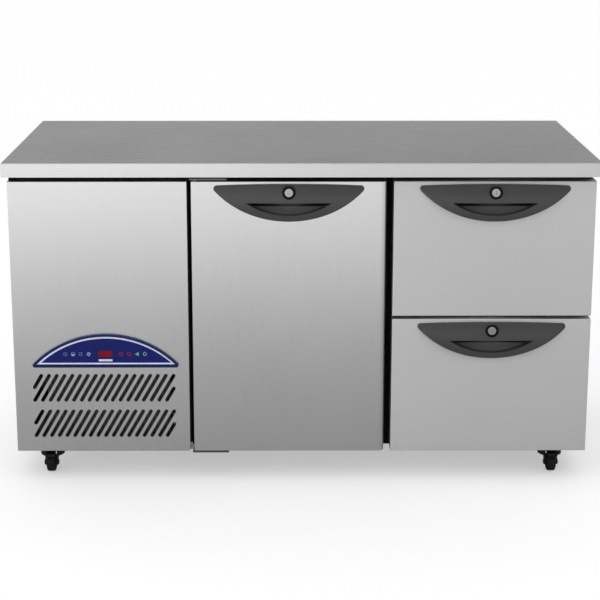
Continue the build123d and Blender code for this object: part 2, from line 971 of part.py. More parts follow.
def shelf_racking():
    """Four slotted uprights and two runners for the shelf."""
    top = shelf_level + upright_above_shelf
    runner_y0 = shelf_front - runner_overhang
    runner_y1 = shelf_rear + runner_overhang
    inner_runner = upright_depth + sheet
    pieces = []
    for face, turn in ((inner_left, 1), (post_left, -1)):
        for y in (shelf_front + upright_inset, shelf_rear - upright_inset):
            pieces.append(upright(face, turn, y, top))
        near = sorted((face + turn * upright_depth, face + turn * inner_runner))
        leg = sorted((face + turn * upright_depth, face + turn * (upright_depth + runner_leg)))
        runner = block(near[0], near[1], runner_y0, runner_y1, shelf_level - runner_leg, shelf_level)
        runner += block(leg[0], leg[1], runner_y0, runner_y1, shelf_level - sheet, shelf_level)
        pieces.append(runner)
    return group(pieces)


def upright(face, turn, y, top):
    """One upright channel with its open side on the wall."""
    x = sorted((face, face + turn * upright_depth))
    half = upright_width / 2
    foot = inner_bottom + cove_radius
    body = block(x[0], x[1], y - half, y + half, foot, top)
    inner = sorted((face, face + turn * (upright_depth - sheet)))
    inside = half - sheet
    return body - block(inner[0], inner[1], y - inside, y + inside, foot, top)


def shelf():
    """A wire shelf: a bent frame rod with wires from front to back on a middle strip."""
    wall_gap = upright_depth + sheet + shelf_side_gap
    left = inner_left + wall_gap
    right = post_left - wall_gap
    front = shelf_front
    rear = shelf_rear
    r = shelf_rod
    middle_x = (left + right) / 2
    middle_y = (front + rear) / 2
    z = shelf_level + r
    ring = rounded(left, right, front, rear, shelf_corner)
    ring -= rounded(left + 2 * r, right - 2 * r, front + 2 * r, rear - 2 * r, shelf_corner - 2 * r)
    body = along_z(ring, shelf_level, shelf_level + 2 * r)
    body = chamfer(body.faces().filter_by(Axis.Z).edges(), shelf_rod_edge)
    count = int((right - left - 2 * shelf_corner) // shelf_wire_pitch)
    first = middle_x - shelf_wire_pitch * count / 2
    for k in range(count + 1):
        body += cylinder_y(first + shelf_wire_pitch * k, z, shelf_wire, front + r, rear - r)
    half = shelf_strip / 2
    return body + block(left + r, right - r, middle_y - half, middle_y + half, shelf_level, z)


# Fans, motors and coils


def fan_rotor(radius, depth):
    """An axial rotor on Z: a bored hub with pitched blades."""
    hub = Cylinder(fan_hub_radius, depth)
    root = fan_hub_radius - fan_blade_root
    tip = radius + fan_blade_root
    blade = Rot(fan_blade_pitch, 0, 0) * Box(tip - root, fan_blade_chord, fan_blade_thickness)
    blade = Pos((root + tip) / 2, 0, 0) * blade
    rotor = hub
    for k in range(fan_blades):
        rotor += Rot(0, 0, 360 * k / fan_blades) * blade
    rotor &= Cylinder(radius, depth)
    return rotor - Cylinder(motor_shaft_radius + running_clearance, depth)


def motor(shaft_length):
    """A fan motor on Z: a square stack between two bells, with its shaft upward."""
    body = extrude(RectangleRounded(motor_width, motor_width, motor_corner), amount=-motor_length)
    body = fillet(body.faces().sort_by(Axis.Z)[0].edges(), motor_corner / 2)
    body += Pos(0, 0, -motor_length - motor_bell_length / 2) * Cylinder(motor_bell_radius, motor_bell_length)
    return body + Pos(0, 0, shaft_length / 2) * Cylinder(motor_shaft_radius, shaft_length)


def shaft_length(fan_depth):
    """How far a motor's shaft reaches past its face: bracket, gap and hub."""
    return motor_bracket + motor_to_fan + fan_depth + motor_shaft_past_hub


def evaporator_fan_plane():
    """The side of the evaporator's rotor that faces its motor."""
    return cowl_right - evaporator_fan_to_face - evaporator_fan_depth


def evaporator_motor_face():
    """Where the evaporator's motor meets its bracket."""
    return evaporator_fan_plane() - motor_to_fan - motor_bracket


def condenser_bracket():
    """The front of the condenser motor's strap, behind the rotor."""
    return condenser_rear + shroud_depth + motor_to_fan


def fan_motors():
    """The evaporator's motor and the condenser's motor."""
    evaporator = motor(shaft_length(evaporator_fan_depth))
    place = Pos(evaporator_motor_face(), evaporator_fan_y, evaporator_fan_z)
    evaporator = place * Rot(0, 90, 0) * evaporator
    condenser = motor(shaft_length(condenser_fan_depth))
    place = Pos(condenser_x, condenser_bracket() + motor_bracket, condenser_fan_z)
    condenser = place * Rot(90, 0, 0) * condenser
    return group([evaporator, condenser])


def evaporator_fan():
    """The rotor behind the cowl's guard, turning about X."""
    rotor = fan_rotor(evaporator_fan_radius, evaporator_fan_depth)
    x = evaporator_fan_plane() + evaporator_fan_depth / 2
    return Pos(x, evaporator_fan_y, evaporator_fan_z) * Rot(0, 90, 0) * rotor


def condenser_fan():
    """The rotor inside the condenser's shroud, turning about Y."""
    rotor = fan_rotor(condenser_fan_radius, condenser_fan_depth)
    y = condenser_bracket() - motor_to_fan - condenser_fan_depth / 2
    return Pos(condenser_x, y, condenser_fan_z) * Rot(90, 0, 0) * rotor


def finned_coil(width, height, depth):
    """A finned coil on its centre: width on X, air through Y, with return bends at both ends."""
    core_half = depth / 2 - fin_reach
    plan = rectangle(-width / 2, width / 2, -core_half, core_half)
    count = int((width - 2 * coil_end_plate) // fin_pitch)
    first = -fin_pitch * (count - 1) / 2
    for k in range(count):
        x = first + fin_pitch * k
        plan += rectangle(x - fin_thickness / 2, x + fin_thickness / 2, -depth / 2, depth / 2)
    for side in (-1, 1):
        edge = sorted((side * width / 2, side * (width / 2 - coil_end_plate)))
        plan += rectangle(edge[0], edge[1], -depth / 2, depth / 2)
    body = extrude(plan, amount=height / 2, both=True)
    pitch = height / coil_bend_count
    for side in (-1, 1):
        for k in range(coil_bend_count):
            z = -height / 2 + pitch * (k + 0.5)
            body += Pos(side * width / 2, 0, z) * coil_bend(side)
    return body


def coil_bend(side):
    """One return bend outside a coil's end plate, on +X or -X."""
    ring = Rot(90, 0, 0) * Torus(coil_bend_radius, coil_tube_radius)
    reach = coil_bend_radius + coil_tube_radius
    keep = sorted((0, side * reach))
    return ring & block(keep[0], keep[1], -reach, reach, -reach, reach)


def evaporator_coil():
    """The coil on the cold box's left wall."""
    width = evaporator_length - 2 * (evaporator_coil_margin + coil_bend_radius)
    height = evaporator_height - 2 * evaporator_coil_margin
    coil = finned_coil(width, height, evaporator_coil_depth)
    x = inner_left + evaporator_coil_depth / 2
    return Pos(x, evaporator_fan_y, evaporator_fan_z) * Rot(0, 0, 90) * coil


def evaporator_housing():
    """The cowl over the evaporator: fan opening, wire guard, motor bracket and inlet slots."""
    s = cowl_sheet
    cowl = cowl_block(0) - cowl_block(s)
    opening = evaporator_fan_radius + fan_tip_gap
    centre = (evaporator_fan_y, evaporator_fan_z)
    cowl -= cylinder_x(*centre, opening, cowl_right - s, cowl_right)
    cowl -= cowl_inlets()
    half = motor_bracket_width / 2
    x0 = evaporator_motor_face()
    strap = block(
        x0, x0 + motor_bracket, evaporator_fan_y - half, evaporator_fan_y + half,
        cowl_bottom + s, cowl_top - s,
    )
    cowl += strap - cylinder_x(*centre, motor_shaft_radius + loose_clearance, x0, x0 + motor_bracket)
    return cowl + fan_guard(opening)


def cowl_block(inset):
    """The cowl's outline with rounded front edges, inset evenly but for its open side."""
    body = block(
        cowl_left, cowl_right - inset, cowl_front + inset, cowl_rear - inset,
        cowl_bottom + inset, cowl_top - inset,
    )
    edges = body.faces().sort_by(Axis.X)[-1].edges()
    return fillet(edges, cowl_round - inset)


def cowl_inlets():
    """Upright air slots on both sides of the cowl's fan opening."""
    slots = Sketch()
    z0 = evaporator_fan_z - cowl_inlet_length / 2
    z1 = z0 + cowl_inlet_length - cowl_inlet_width
    for k in range(cowl_inlet_count):
        step = cowl_inlet_pitch * (k + 1)
        for y in (cowl_front + step, cowl_rear - step):
            slots += slot_between((y, z0), (y, z1), cowl_inlet_width)
    return along_x(slots, cowl_right - cowl_sheet, cowl_right)


def fan_guard(opening):
    """Concentric wires over the fan opening, on crossed straight wires."""
    x = cowl_right + guard_stand
    place = Pos(x, evaporator_fan_y, evaporator_fan_z) * Rot(0, 90, 0)
    reach = opening + guard_bar
    bar = Box(2 * reach, guard_bar, guard_bar)
    guard = bar + Rot(0, 0, 90) * bar
    for k in range(guard_rings):
        ring_radius = opening * (k + 1) / (guard_rings + 1)
        guard += Pos(0, 0, guard_bar / 2) * Torus(ring_radius, guard_wire)
    for a in (0, 90, 180, 270):
        leg = Pos(reach - guard_bar / 2, 0, -guard_stand / 2) * Box(guard_bar, guard_bar, guard_stand)
        guard += Rot(0, 0, a) * leg
    return place * guard


# Condensing-unit bay


def bay_frame():
    """The post beside the cold box and the rail under the worktop, which carry the bay's front."""
    post_x1 = box_left - front_lift
    post_x0 = post_x1 - side_flange
    rail_z = body_top - bay_flange
    post = block(post_x0, post_x1, panel_back, panel_back + sheet, bay_floor, rail_z)
    post += block(post_x1 - sheet, post_x1, panel_back, frame_back, bay_floor, rail_z)
    post += block(post_x1 - sheet, box_left, frame_back, frame_back + sheet, bay_floor, rail_z)
    post -= block(post_x0, post_x1, panel_back, panel_back + sheet, bay_floor, base_z + bay_flange)
    left = body_left + side_flange
    rail = block(left, post_x1, panel_back, panel_back + sheet, rail_z, body_top)
    rail += block(left, post_x1, panel_back, frame_back, body_top - sheet, body_top)
    return post + rail


def unit_front_panel():
    """The bay's folded front with its leaning louvre slots and the controller's cut-out."""
    panel = leaf_block(body_left, unit_panel_right, front_bottom, front_top, panel_back, 0, 0)
    panel -= leaf_block(body_left, unit_panel_right, front_bottom, front_top, panel_back, sheet, 0)
    slots = louvre_slots(louvre_upper_row) + louvre_slots(louvre_lower_row)
    panel -= along_y(slots, front_y, front_y + sheet)
    return panel - along_y(display_window(fascia_clearance), front_y, front_y + sheet)


def louvre_slots(row):
    """One row of leaning slots; those past the ends are cut off at the row's sides."""
    z0 = front_bottom + row
    left = body_left + louvre_left_gap
    right = left + louvre_lean + louvre_pitch * (louvre_count - 1)
    slots = Sketch()
    for k in range(-1, louvre_count + 1):
        foot = left + louvre_pitch * k
        low = max(0, (left - foot) / louvre_lean)
        high = min(1, (right - foot) / louvre_lean)
        a = (foot + louvre_lean * low, z0 + louvre_row_height * low)
        b = (foot + louvre_lean * high, z0 + louvre_row_height * high)
        slots += slot_between(a, b, louvre_width)
    return slots


def bezel_middle():
    """The control panel's middle across the bay's front."""
    return unit_panel_right - bezel_right_gap - bezel_half_chord + bezel_tip


def bezel_bottom():
    """The control panel's lower edge."""
    return front_bottom + bezel_bottom_height


def bezel_outline():
    """An arch over a straight lower edge, with rounded tips."""
    x = bezel_middle()
    z = bezel_bottom()
    ends = [(x - bezel_half_chord, z), (x + bezel_half_chord, z)]
    arch = ThreePointArc(ends[0], (x, z + bezel_rise), ends[1])
    face = make_face([arch, Line(ends[1], ends[0])])
    return fillet(face.vertices(), bezel_tip)


def display_window(growth):
    """The display's opening, grown by a clearance."""
    x = bezel_middle()
    z = bezel_bottom() + display_height_above
    half_x = display_width / 2 + growth
    half_z = display_height / 2 + growth
    return rectangle(x - half_x, x + half_x, z - half_z, z + half_z)


def control_bezel():
    """The arched control moulding with a dished face and the display's opening."""
    front = front_y - bezel_thickness
    body = along_y(bezel_outline(), front, front_y)
    body = fillet(body.faces().sort_by(Axis.Y)[0].edges(), bezel_round)
    dish = offset(bezel_outline(), amount=-bezel_rim, kind=Kind.INTERSECTION)
    body -= along_y(dish, front, front + bezel_dish)
    return body - along_y(display_window(fascia_clearance), front, front_y)


def controller_module():
    """The controller behind the bay's front, with its display through the control moulding."""
    x = bezel_middle()
    z = bezel_bottom() + display_height_above
    back = front_y + sheet + module_depth
    body = block(
        x - module_width / 2, x + module_width / 2, front_y + sheet, back,
        z - module_height / 2, z + module_height / 2,
    )
    body = fillet(body.faces().sort_by(Axis.Y)[-1].edges(), module_corner)
    screen_front = front_y - bezel_thickness + bezel_dish + display_set_back
    return body + along_y(display_window(0), screen_front, front_y + sheet + module_screen_depth)


def condensing_tray():
    """The lipped tray that carries the condensing unit."""
    lip_top = bay_floor + tray_lip
    s = tray_sheet
    tray = block(tray_left, tray_right, tray_front, tray_rear, bay_floor, lip_top)
    return tray - block(
        tray_left + s, tray_right - s, tray_front + s, tray_rear - s, tray_floor, lip_top
    )


def condenser_coil():
    """The condenser behind the louvres, standing on the tray."""
    coil = finned_coil(condenser_width, condenser_height, condenser_depth)
    y = (condenser_front + condenser_rear) / 2
    return Pos(condenser_x, y, condenser_fan_z) * coil


def condenser_shroud():
    """A duct from the condenser to its fan, with the motor's strap across the opening."""
    s = shroud_sheet
    half = condenser_width / 2
    y1 = condenser_rear + shroud_depth
    top = tray_floor + condenser_height
    body = block(condenser_x - half, condenser_x + half, condenser_rear, y1, tray_floor, top)
    body -= block(
        condenser_x - half + s, condenser_x + half - s, condenser_rear, y1 - s,
        tray_floor + s, top - s,
    )
    opening = condenser_fan_radius + fan_tip_gap
    ring = cylinder_y(condenser_x, condenser_fan_z, opening + s, y1 - shroud_ring, y1)
    body += ring
    body -= cylinder_y(condenser_x, condenser_fan_z, opening, y1 - shroud_ring, y1)
    return body + motor_strap(y1, opening)


def motor_strap(y, opening):
    """A bridge behind the shroud's opening that carries the condenser's motor."""
    y0 = condenser_bracket()
    y1 = y0 + motor_bracket
    reach = opening + strap_overlap
    half = motor_bracket_width / 2
    z0 = condenser_fan_z - half
    z1 = condenser_fan_z + half
    strap = block(condenser_x - reach, condenser_x + reach, y0, y1, z0, z1)
    strap -= cylinder_y(condenser_x, condenser_fan_z, motor_shaft_radius + loose_clearance, y0, y1)
    for side in (-1, 1):
        leg = sorted((condenser_x + side * reach, condenser_x + side * (reach - motor_bracket)))
        strap += block(leg[0], leg[1], y, y1, z0, z1)
    return strap


def compressor():
    """A hermetic compressor: domed can, foot plate on four grommets, terminal box and ports."""
    x = condenser_x
    y = compressor_y
    z0 = compressor_base + compressor_plate
    z1 = z0 + compressor_height
    can = cylinder_z(x, y, compressor_radius, z0, z1)
    can = fillet(can.edges().filter_by(GeomType.CIRCLE), compressor_dome)
    half = compressor_plate_half
    plate = along_z(rounded(x - half, x + half, y - half, y + half, compressor_foot_radius * 2),
                    compressor_base, z0)
    body = can + plate
    span = compressor_foot_span
    for dx in (-span, span):
        for dy in (-span, span):
            body += cylinder_z(x + dx, y + dy, compressor_foot_radius, tray_floor, compressor_base)
            nut = Pos(x + dx, y + dy) * RegularPolygon(compressor_nut_radius, 6)
            body += along_z(nut, z0, z0 + compressor_nut_height)
            stud_top = z0 + compressor_stud_height
            body += cylinder_z(x + dx, y + dy, compressor_stud_radius, z0, stud_top)
    seam_z = (z0 + z1) / 2
    body += cylinder_z(x, y, compressor_radius + compressor_plate, seam_z - compressor_plate,
                       seam_z + compressor_plate)
    face = x - compressor_radius - terminal_depth
    body += block(face, x, y - terminal_width / 2, y + terminal_width / 2,
                  seam_z - terminal_height / 2, seam_z + terminal_height / 2)
    for port_x, port_y, port_z in pipe_ports():
        body += cylinder_x(port_y, port_z, port_radius, x, port_x)
    return body


def pipe_ports():
    """The ends of the compressor's discharge and suction ports, as x, y and z."""
    x = condenser_x + compressor_radius + port_length
    discharge = (x, compressor_y - port_side, compressor_base + port_low)
    suction = (x, compressor_y + port_side, compressor_base + port_high)
    return [discharge, suction]


def tube(points, radius, bend):
    """A pipe along straight runs joined by arcs."""
    path = FilletPolyline(*points, radius=bend)
    start = Plane(origin=path @ 0, z_dir=path % 0)
    return sweep(start * Circle(radius), path=path)


def refrigerant_pipes():
    """The discharge line, the suction line and the liquid line with its filter drier."""
    discharge, suction = pipe_ports()
    corner_x = tray_right - tray_sheet - pipe_wall_gap
    coil_end = condenser_x + condenser_width / 2
    coil_y = condenser_rear + shroud_depth + shroud_ring
    inlet_z = tray_floor + condenser_height + discharge_pipe_radius
    inlet_y = (condenser_front + condenser_rear) / 2
    turn_y = coil_y + pipe_set_back
    run_z = inlet_z + pipe_rise
    discharge_line = tube(
        [
            discharge,
            (corner_x, discharge[1], discharge[2]),
            (corner_x, turn_y, discharge[2]),
            (corner_x, turn_y, run_z),
            (corner_x, inlet_y, run_z),
            (coil_end - pipe_bend, inlet_y, run_z),
            (coil_end - pipe_bend, inlet_y, inlet_z - discharge_pipe_radius),
        ],
        discharge_pipe_radius,
        pipe_bend,
    )
    suction_top = inlet_z + suction_rise
    suction_line = tube(
        [
            suction,
            (corner_x, suction[1], suction[2]),
            (corner_x, suction[1], suction_top),
            (box_left, suction[1], suction_top),
        ],
        suction_pipe_radius,
        suction_bend,
    )
    return group([discharge_line, suction_line, liquid_line(inlet_y, inlet_z)])


def liquid_line(inlet_y, inlet_z):
    """From the condenser's left end up through the filter drier to the cold box's wall."""
    x = condenser_x - condenser_width / 2 + pipe_bend
    start = inlet_z - discharge_pipe_radius
    drier_z0 = start + pipe_bend
    drier_z1 = drier_z0 + drier_length
    body = cylinder_z(x, inlet_y, discharge_pipe_radius, start, drier_z0)
    drier = cylinder_z(x, inlet_y, drier_radius, drier_z0, drier_z1)
    body += fillet(drier.edges().filter_by(GeomType.CIRCLE), drier_radius / 2)
    turn_z = drier_z1 + liquid_rise
    out = tube(
        [
            (x, inlet_y, drier_z1 - drier_radius),
            (x, inlet_y, turn_z),
            (x, inlet_y + liquid_run, turn_z),
            (box_left, inlet_y + liquid_run, turn_z),
        ],
        discharge_pipe_radius,
        pipe_bend,
    )
    return body + out


def electrical_box():
    """The relay and terminal box on the cold box's wall, with its lid."""
    x0 = box_left - electrical_box_width
    y1 = body_rear - electrical_box_rear_gap
    y0 = y1 - electrical_box_depth
    z0 = body_top - electrical_box_below_top
    z1 = z0 + electrical_box_height
    body = block(x0, box_left, y0, y1, z0, z1)
    body = fillet(body.faces().sort_by(Axis.X)[0].edges(), electrical_corner)
    g0 = x0 + electrical_lid
    g1 = g0 + electrical_groove
    d = electrical_groove
    groove = block(g0, g1, y0, y1, z0, z1) - block(g0, g1, y0 + d, y1 - d, z0 + d, z1 - d)
    return body - groove


def rear_grille():
    """The sheet over the unit bay's back, with rows of air slots and the gland's hole."""
    face = rectangle(bay_left, box_left, base_z, body_top)
    middle = (bay_left + box_left) / 2
    inner = rear_slot_middle_gap / 2 + rear_slot_width / 2
    outer = inner + rear_slot_length - rear_slot_width
    for k in range(rear_slot_rows):
        z = rear_slot_bottom + rear_slot_pitch * k
        for side in (-1, 1):
            face -= slot_between((middle + side * inner, z), (middle + side * outer, z), rear_slot_width)
    face -= Pos(*gland_place()) * Circle(gland_neck_radius)
    body = along_y(face, body_rear - sheet, body_rear)
    reach_x = box_left - bay_left - 2 * rear_screw_inset
    reach_z = (body_top - base_z - 2 * rear_screw_inset) / (rear_screw_rows - 1)
    for place in GridLocations(reach_x, reach_z, 2, rear_screw_rows):
        x = middle + place.position.X
        z = (base_z + body_top) / 2 + place.position.Y
        head = cylinder_y(x, z, rear_screw_radius, body_rear, body_rear + rear_screw_head)
        body += fillet(head.faces().sort_by(Axis.Y)[-1].edges(), rear_screw_head / 2)
    return body


def gland_place():
    """The mains gland's place on the bay's back, as x and z."""
    return (box_left - gland_side, base_z + gland_level)


def mains_inlet():
    """A cable gland: hexagonal nut and dome outside, threaded neck and lock nut inside."""
    x, z = gland_place()
    nut = Pos(x, z) * RegularPolygon(gland_radius, 6)
    body = along_y(nut, body_rear, body_rear + gland_nut)
    dome_end = body_rear + gland_nut + gland_dome
    dome = cylinder_y(x, z, gland_dome_radius, body_rear + gland_nut, dome_end)
    body += fillet(dome.faces().sort_by(Axis.Y)[-1].edges(), gland_dome_round)
    neck_start = body_rear - sheet - gland_inner
    body += cylinder_y(x, z, gland_neck_radius - running_clearance, neck_start, body_rear)
    body += along_y(nut, body_rear - sheet - gland_nut, body_rear - sheet)
    return body - cylinder_y(x, z, gland_bore_radius, neck_start, dome_end)


# Castors


def castor_plates():
    """The four fixed plates with their raceways and kingpins."""
    pieces = []
    for _, x, y, _ in castors:
        half_x = castor_plate_width / 2
        half_y = castor_plate_depth / 2
        z0 = castor_height - castor_plate_thickness
        outline = rounded(x - half_x, x + half_x, y - half_y, y + half_y, castor_plate_corner)
        plate = along_z(outline, z0, castor_height)
        bolt_x = half_x - castor_bolt_inset
        bolt_y = half_y - castor_bolt_inset
        for bolt in GridLocations(2 * bolt_x, 2 * bolt_y, 2, 2):
            head = Pos(x, y) * bolt * RegularPolygon(castor_bolt_radius, 6)
            plate += along_z(head, z0 - castor_bolt_head, z0)
        plate += cylinder_z(x, y, raceway_radius, z0 - raceway_height, z0)
        pin_end = crown_bottom - swivel_gap
        plate += cylinder_z(x, y, kingpin_radius, pin_end - kingpin_head, z0)
        plate += cylinder_z(x, y, kingpin_head_radius, pin_end - kingpin_head, pin_end)
        pieces.append(plate)
    return group(pieces)


def castor_fork(x, y, braked):
    """A swivelling fork: bored crown, hood lobes, two legs, the axle and a brake's pin."""
    gap = wheel_width / 2 + fork_gap
    outer = gap + fork_leg
    axle_y = y - wheel_trail
    hood = cylinder_z(x, y, hood_radius, crown_top - hood_skirt, crown_top)
    hood = fillet(hood.faces().sort_by(Axis.Z)[-1].edges(), hood_crown)
    inside = hood_radius - hood_wall
    hood -= cylinder_z(x, y, inside, crown_top - hood_skirt, crown_bottom)
    hood -= block(x - outer, x + outer, y - hood_radius, y + hood_radius,
                  crown_top - hood_skirt, crown_bottom)
    body = hood
    for side in (-1, 1):
        leg = fork_leg_outline(y, axle_y)
        x0, x1 = sorted((x + side * gap, x + side * outer))
        body += along_x(leg, x0, x1)
        head = sorted((x + side * outer, x + side * (outer + axle_head)))
        body += cylinder_x(axle_y, axle_z, axle_head_radius, *head)
    body += cylinder_x(axle_y, axle_z, axle_radius, x - gap, x + gap)
    if braked:
        body += cylinder_x(y - pedal_pivot_back, pedal_pivot_z, pedal_pin_radius, x - gap, x + gap)
    return body - cylinder_z(x, y, kingpin_radius + running_clearance, crown_bottom, crown_top)


def fork_leg_outline(y, axle_y):
    """A leg's outline in Y and Z: wide under the crown and narrow round the axle."""
    leg = Polygon(
        (y + fork_shoulder, crown_bottom), (y - fork_shoulder, crown_bottom),
        (axle_y - fork_foot_radius, axle_z), (axle_y + fork_foot_radius, axle_z),
        align=None,
    )
    return leg + Pos(axle_y, axle_z) * Circle(fork_foot_radius)


def castor_wheel(x, y):
    """A wheel with a rounded tread, recessed webs and a bored hub."""
    half = wheel_width / 2
    profile = rectangle(0, wheel_radius, -half, half)
    tread = profile.vertices().filter_by(lambda v: v.X > wheel_radius / 2)
    profile = fillet(tread, wheel_tread_round)
    web_outer = wheel_radius - wheel_rim
    for side in (-1, 1):
        edge = sorted((side * half, side * (half - wheel_recess)))
        profile -= rectangle(wheel_hub_radius, web_outer, edge[0], edge[1])
    profile -= rectangle(0, axle_radius + running_clearance, -half, half)
    wheel = revolve(Plane.XZ * profile, axis=Axis.Z)
    return Pos(x, y - wheel_trail, axle_z) * Rot(0, 90, 0) * wheel


def brake_pedal(x, y):
    """A foot pedal on its pin between the fork's legs, with a raised pad past the wheel."""
    pivot_y = y - pedal_pivot_back
    low = 2 * wheel_radius + pedal_over_wheel
    end = y - pedal_reach
    lever = Polygon(
        (end, low), (pivot_y, low), (pivot_y, low + pedal_thickness),
        (end + pedal_pad, low + pedal_thickness), (end, low + pedal_thickness + pedal_pad_rise),
        align=None,
    )
    lever += Pos(pivot_y, pedal_pivot_z) * Circle(pedal_thickness)
    body = along_x(lever, x - pedal_width / 2, x + pedal_width / 2)
    bore = pedal_pin_radius + running_clearance
    return body - cylinder_x(pivot_y, pedal_pivot_z, bore, x - pedal_width / 2, x + pedal_width / 2)


# Assembly


def door_pieces():
    """The hinged door's pieces."""
    place = (door_left, door_right, front_bottom, front_top)
    skin = leaf_skin(*place, door_edge_radius)
    inner = leaf_inner(*place, door_edge_radius, True)
    bore_length = hinge_pin_length + hinge_pin_gap
    return {
        "door_skin": hinge_bores(skin, sheet * 2),
        "door_inner_panel": hinge_bores(inner, bore_length),
        "door_gasket": leaf_gasket(*place),
        "door_handle": handle(door_left, door_right, front_top),
        "door_lock": lock(door_left, door_right, front_top),
    }


def drawer_pieces(name, bottom, top, bay_bottom):
    """One drawer's pieces."""
    place = (drawer_left, drawer_right, bottom, top)
    return {
        f"drawer_skin_{name}": leaf_skin(*place, 0),
        f"drawer_inner_panel_{name}": leaf_inner(*place, 0, False),
        f"drawer_gasket_{name}": leaf_gasket(*place),
        f"drawer_handle_{name}": handle(drawer_left, drawer_right, top),
        f"drawer_lock_{name}": lock(drawer_left, drawer_right, top),
        f"drawer_box_{name}": drawer_box(bay_bottom),
        f"slide_middle_{name}": slide_middle(bay_bottom),
    }


def castor_pieces():
    """Forks, wheels and brake pedals."""
    pieces = {}
    for name, x, y, braked in castors:
        pieces[f"castor_fork_{name}"] = castor_fork(x, y, braked)
        pieces[f"castor_wheel_{name}"] = castor_wheel(x, y)
        if braked:
            pieces[f"brake_pedal_{name}"] = brake_pedal(x, y)
    return pieces


def all_pieces():
    """Every node's shape under its name."""
    pieces = {
        "worktop": worktop(),
        "side_panels": side_panels(),
        "casing_wrap": casing_wrap(),
        "base_pan": base_pan(),
        "insulation": insulation(),
        "liner": liner(),
        "front_frame": front_frame(),
        "mullion": mullion(),
        "drawer_partition": drawer_partition(),
        "shelf_racking": shelf_racking(),
        "shelf": shelf(),
        "evaporator_housing": evaporator_housing(),
        "evaporator_coil": evaporator_coil(),
        "evaporator_fan": evaporator_fan(),
        "fan_motors": fan_motors(),
        "hinge_brackets": hinge_brackets(),
        "slide_outer_members": slide_outer_members(),
        "bay_frame": bay_frame(),
        "unit_front_panel": unit_front_panel(),
        "control_bezel": control_bezel(),
        "controller_module": controller_module(),
        "condensing_tray": condensing_tray(),
        "compressor": compressor(),
        "condenser_coil": condenser_coil(),
        "condenser_shroud": condenser_shroud(),
        "condenser_fan": condenser_fan(),
        "refrigerant_pipes": refrigerant_pipes(),
        "electrical_box": electrical_box(),
        "rear_grille": rear_grille(),
        "mains_inlet": mains_inlet(),
        "castor_plates": castor_plates(),
    }
    pieces.update(door_pieces())
    pieces.update(drawer_pieces("upper", upper_bottom, front_top, rail_top))
    pieces.update(drawer_pieces("lower", front_bottom, lower_top, inner_bottom))
    pieces.update(castor_pieces())
    return pieces


def main():
    """Write one STEP file per node."""
    os.makedirs("parts", exist_ok=True)
    for name, shape in all_pieces().items():
        export_step(shape, f"parts/{name}.step")


if __name__ == "__main__":
    main()
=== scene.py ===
import bpy
import math
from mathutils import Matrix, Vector


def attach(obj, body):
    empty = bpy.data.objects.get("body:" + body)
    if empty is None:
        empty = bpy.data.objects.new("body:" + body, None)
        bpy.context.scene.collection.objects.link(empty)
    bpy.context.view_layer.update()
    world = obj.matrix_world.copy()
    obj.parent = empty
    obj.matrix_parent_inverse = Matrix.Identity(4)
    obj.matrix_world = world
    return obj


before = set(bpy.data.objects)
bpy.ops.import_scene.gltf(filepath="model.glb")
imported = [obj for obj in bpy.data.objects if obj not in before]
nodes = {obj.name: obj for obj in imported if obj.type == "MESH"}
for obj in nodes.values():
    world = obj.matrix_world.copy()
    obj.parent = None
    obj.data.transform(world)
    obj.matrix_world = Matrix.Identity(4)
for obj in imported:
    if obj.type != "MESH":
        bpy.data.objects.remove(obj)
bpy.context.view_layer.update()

# The look of the counter freezer: camera, light, materials, and the small pieces the solids leave out.
# Metres and watts, in the CAD's own frame. The prints on the front are in millimetres.

black = (0.0, 0.0, 0.0)
full = (1.0, 1.0, 1.0)


def put(name, data):
    """A new object in the scene, made from its data."""
    thing = bpy.data.objects.new(name, data)
    bpy.context.scene.collection.objects.link(thing)
    return thing


# Camera

camera_place = (-0.0413, -4.158, 1.589)
camera_pitch = -12.66
camera_yaw = 0.176
camera_lens = 90.4
camera_sensor = 36
camera_shift = (0.0157, -0.14)
camera_clip = (0.05, 200)


def aim_camera():
    """The camera in front of the counter and above it, with the worktop's top in view."""
    data = bpy.data.cameras.new("camera")
    camera = put("camera", data)
    camera.location = camera_place
    camera.rotation_euler = (math.radians(90 + camera_pitch), 0, math.radians(-camera_yaw))
    data.lens = camera_lens
    data.sensor_width = camera_sensor
    data.shift_x, data.shift_y = camera_shift
    data.clip_start, data.clip_end = camera_clip
    bpy.context.scene.camera = camera


# Node trees


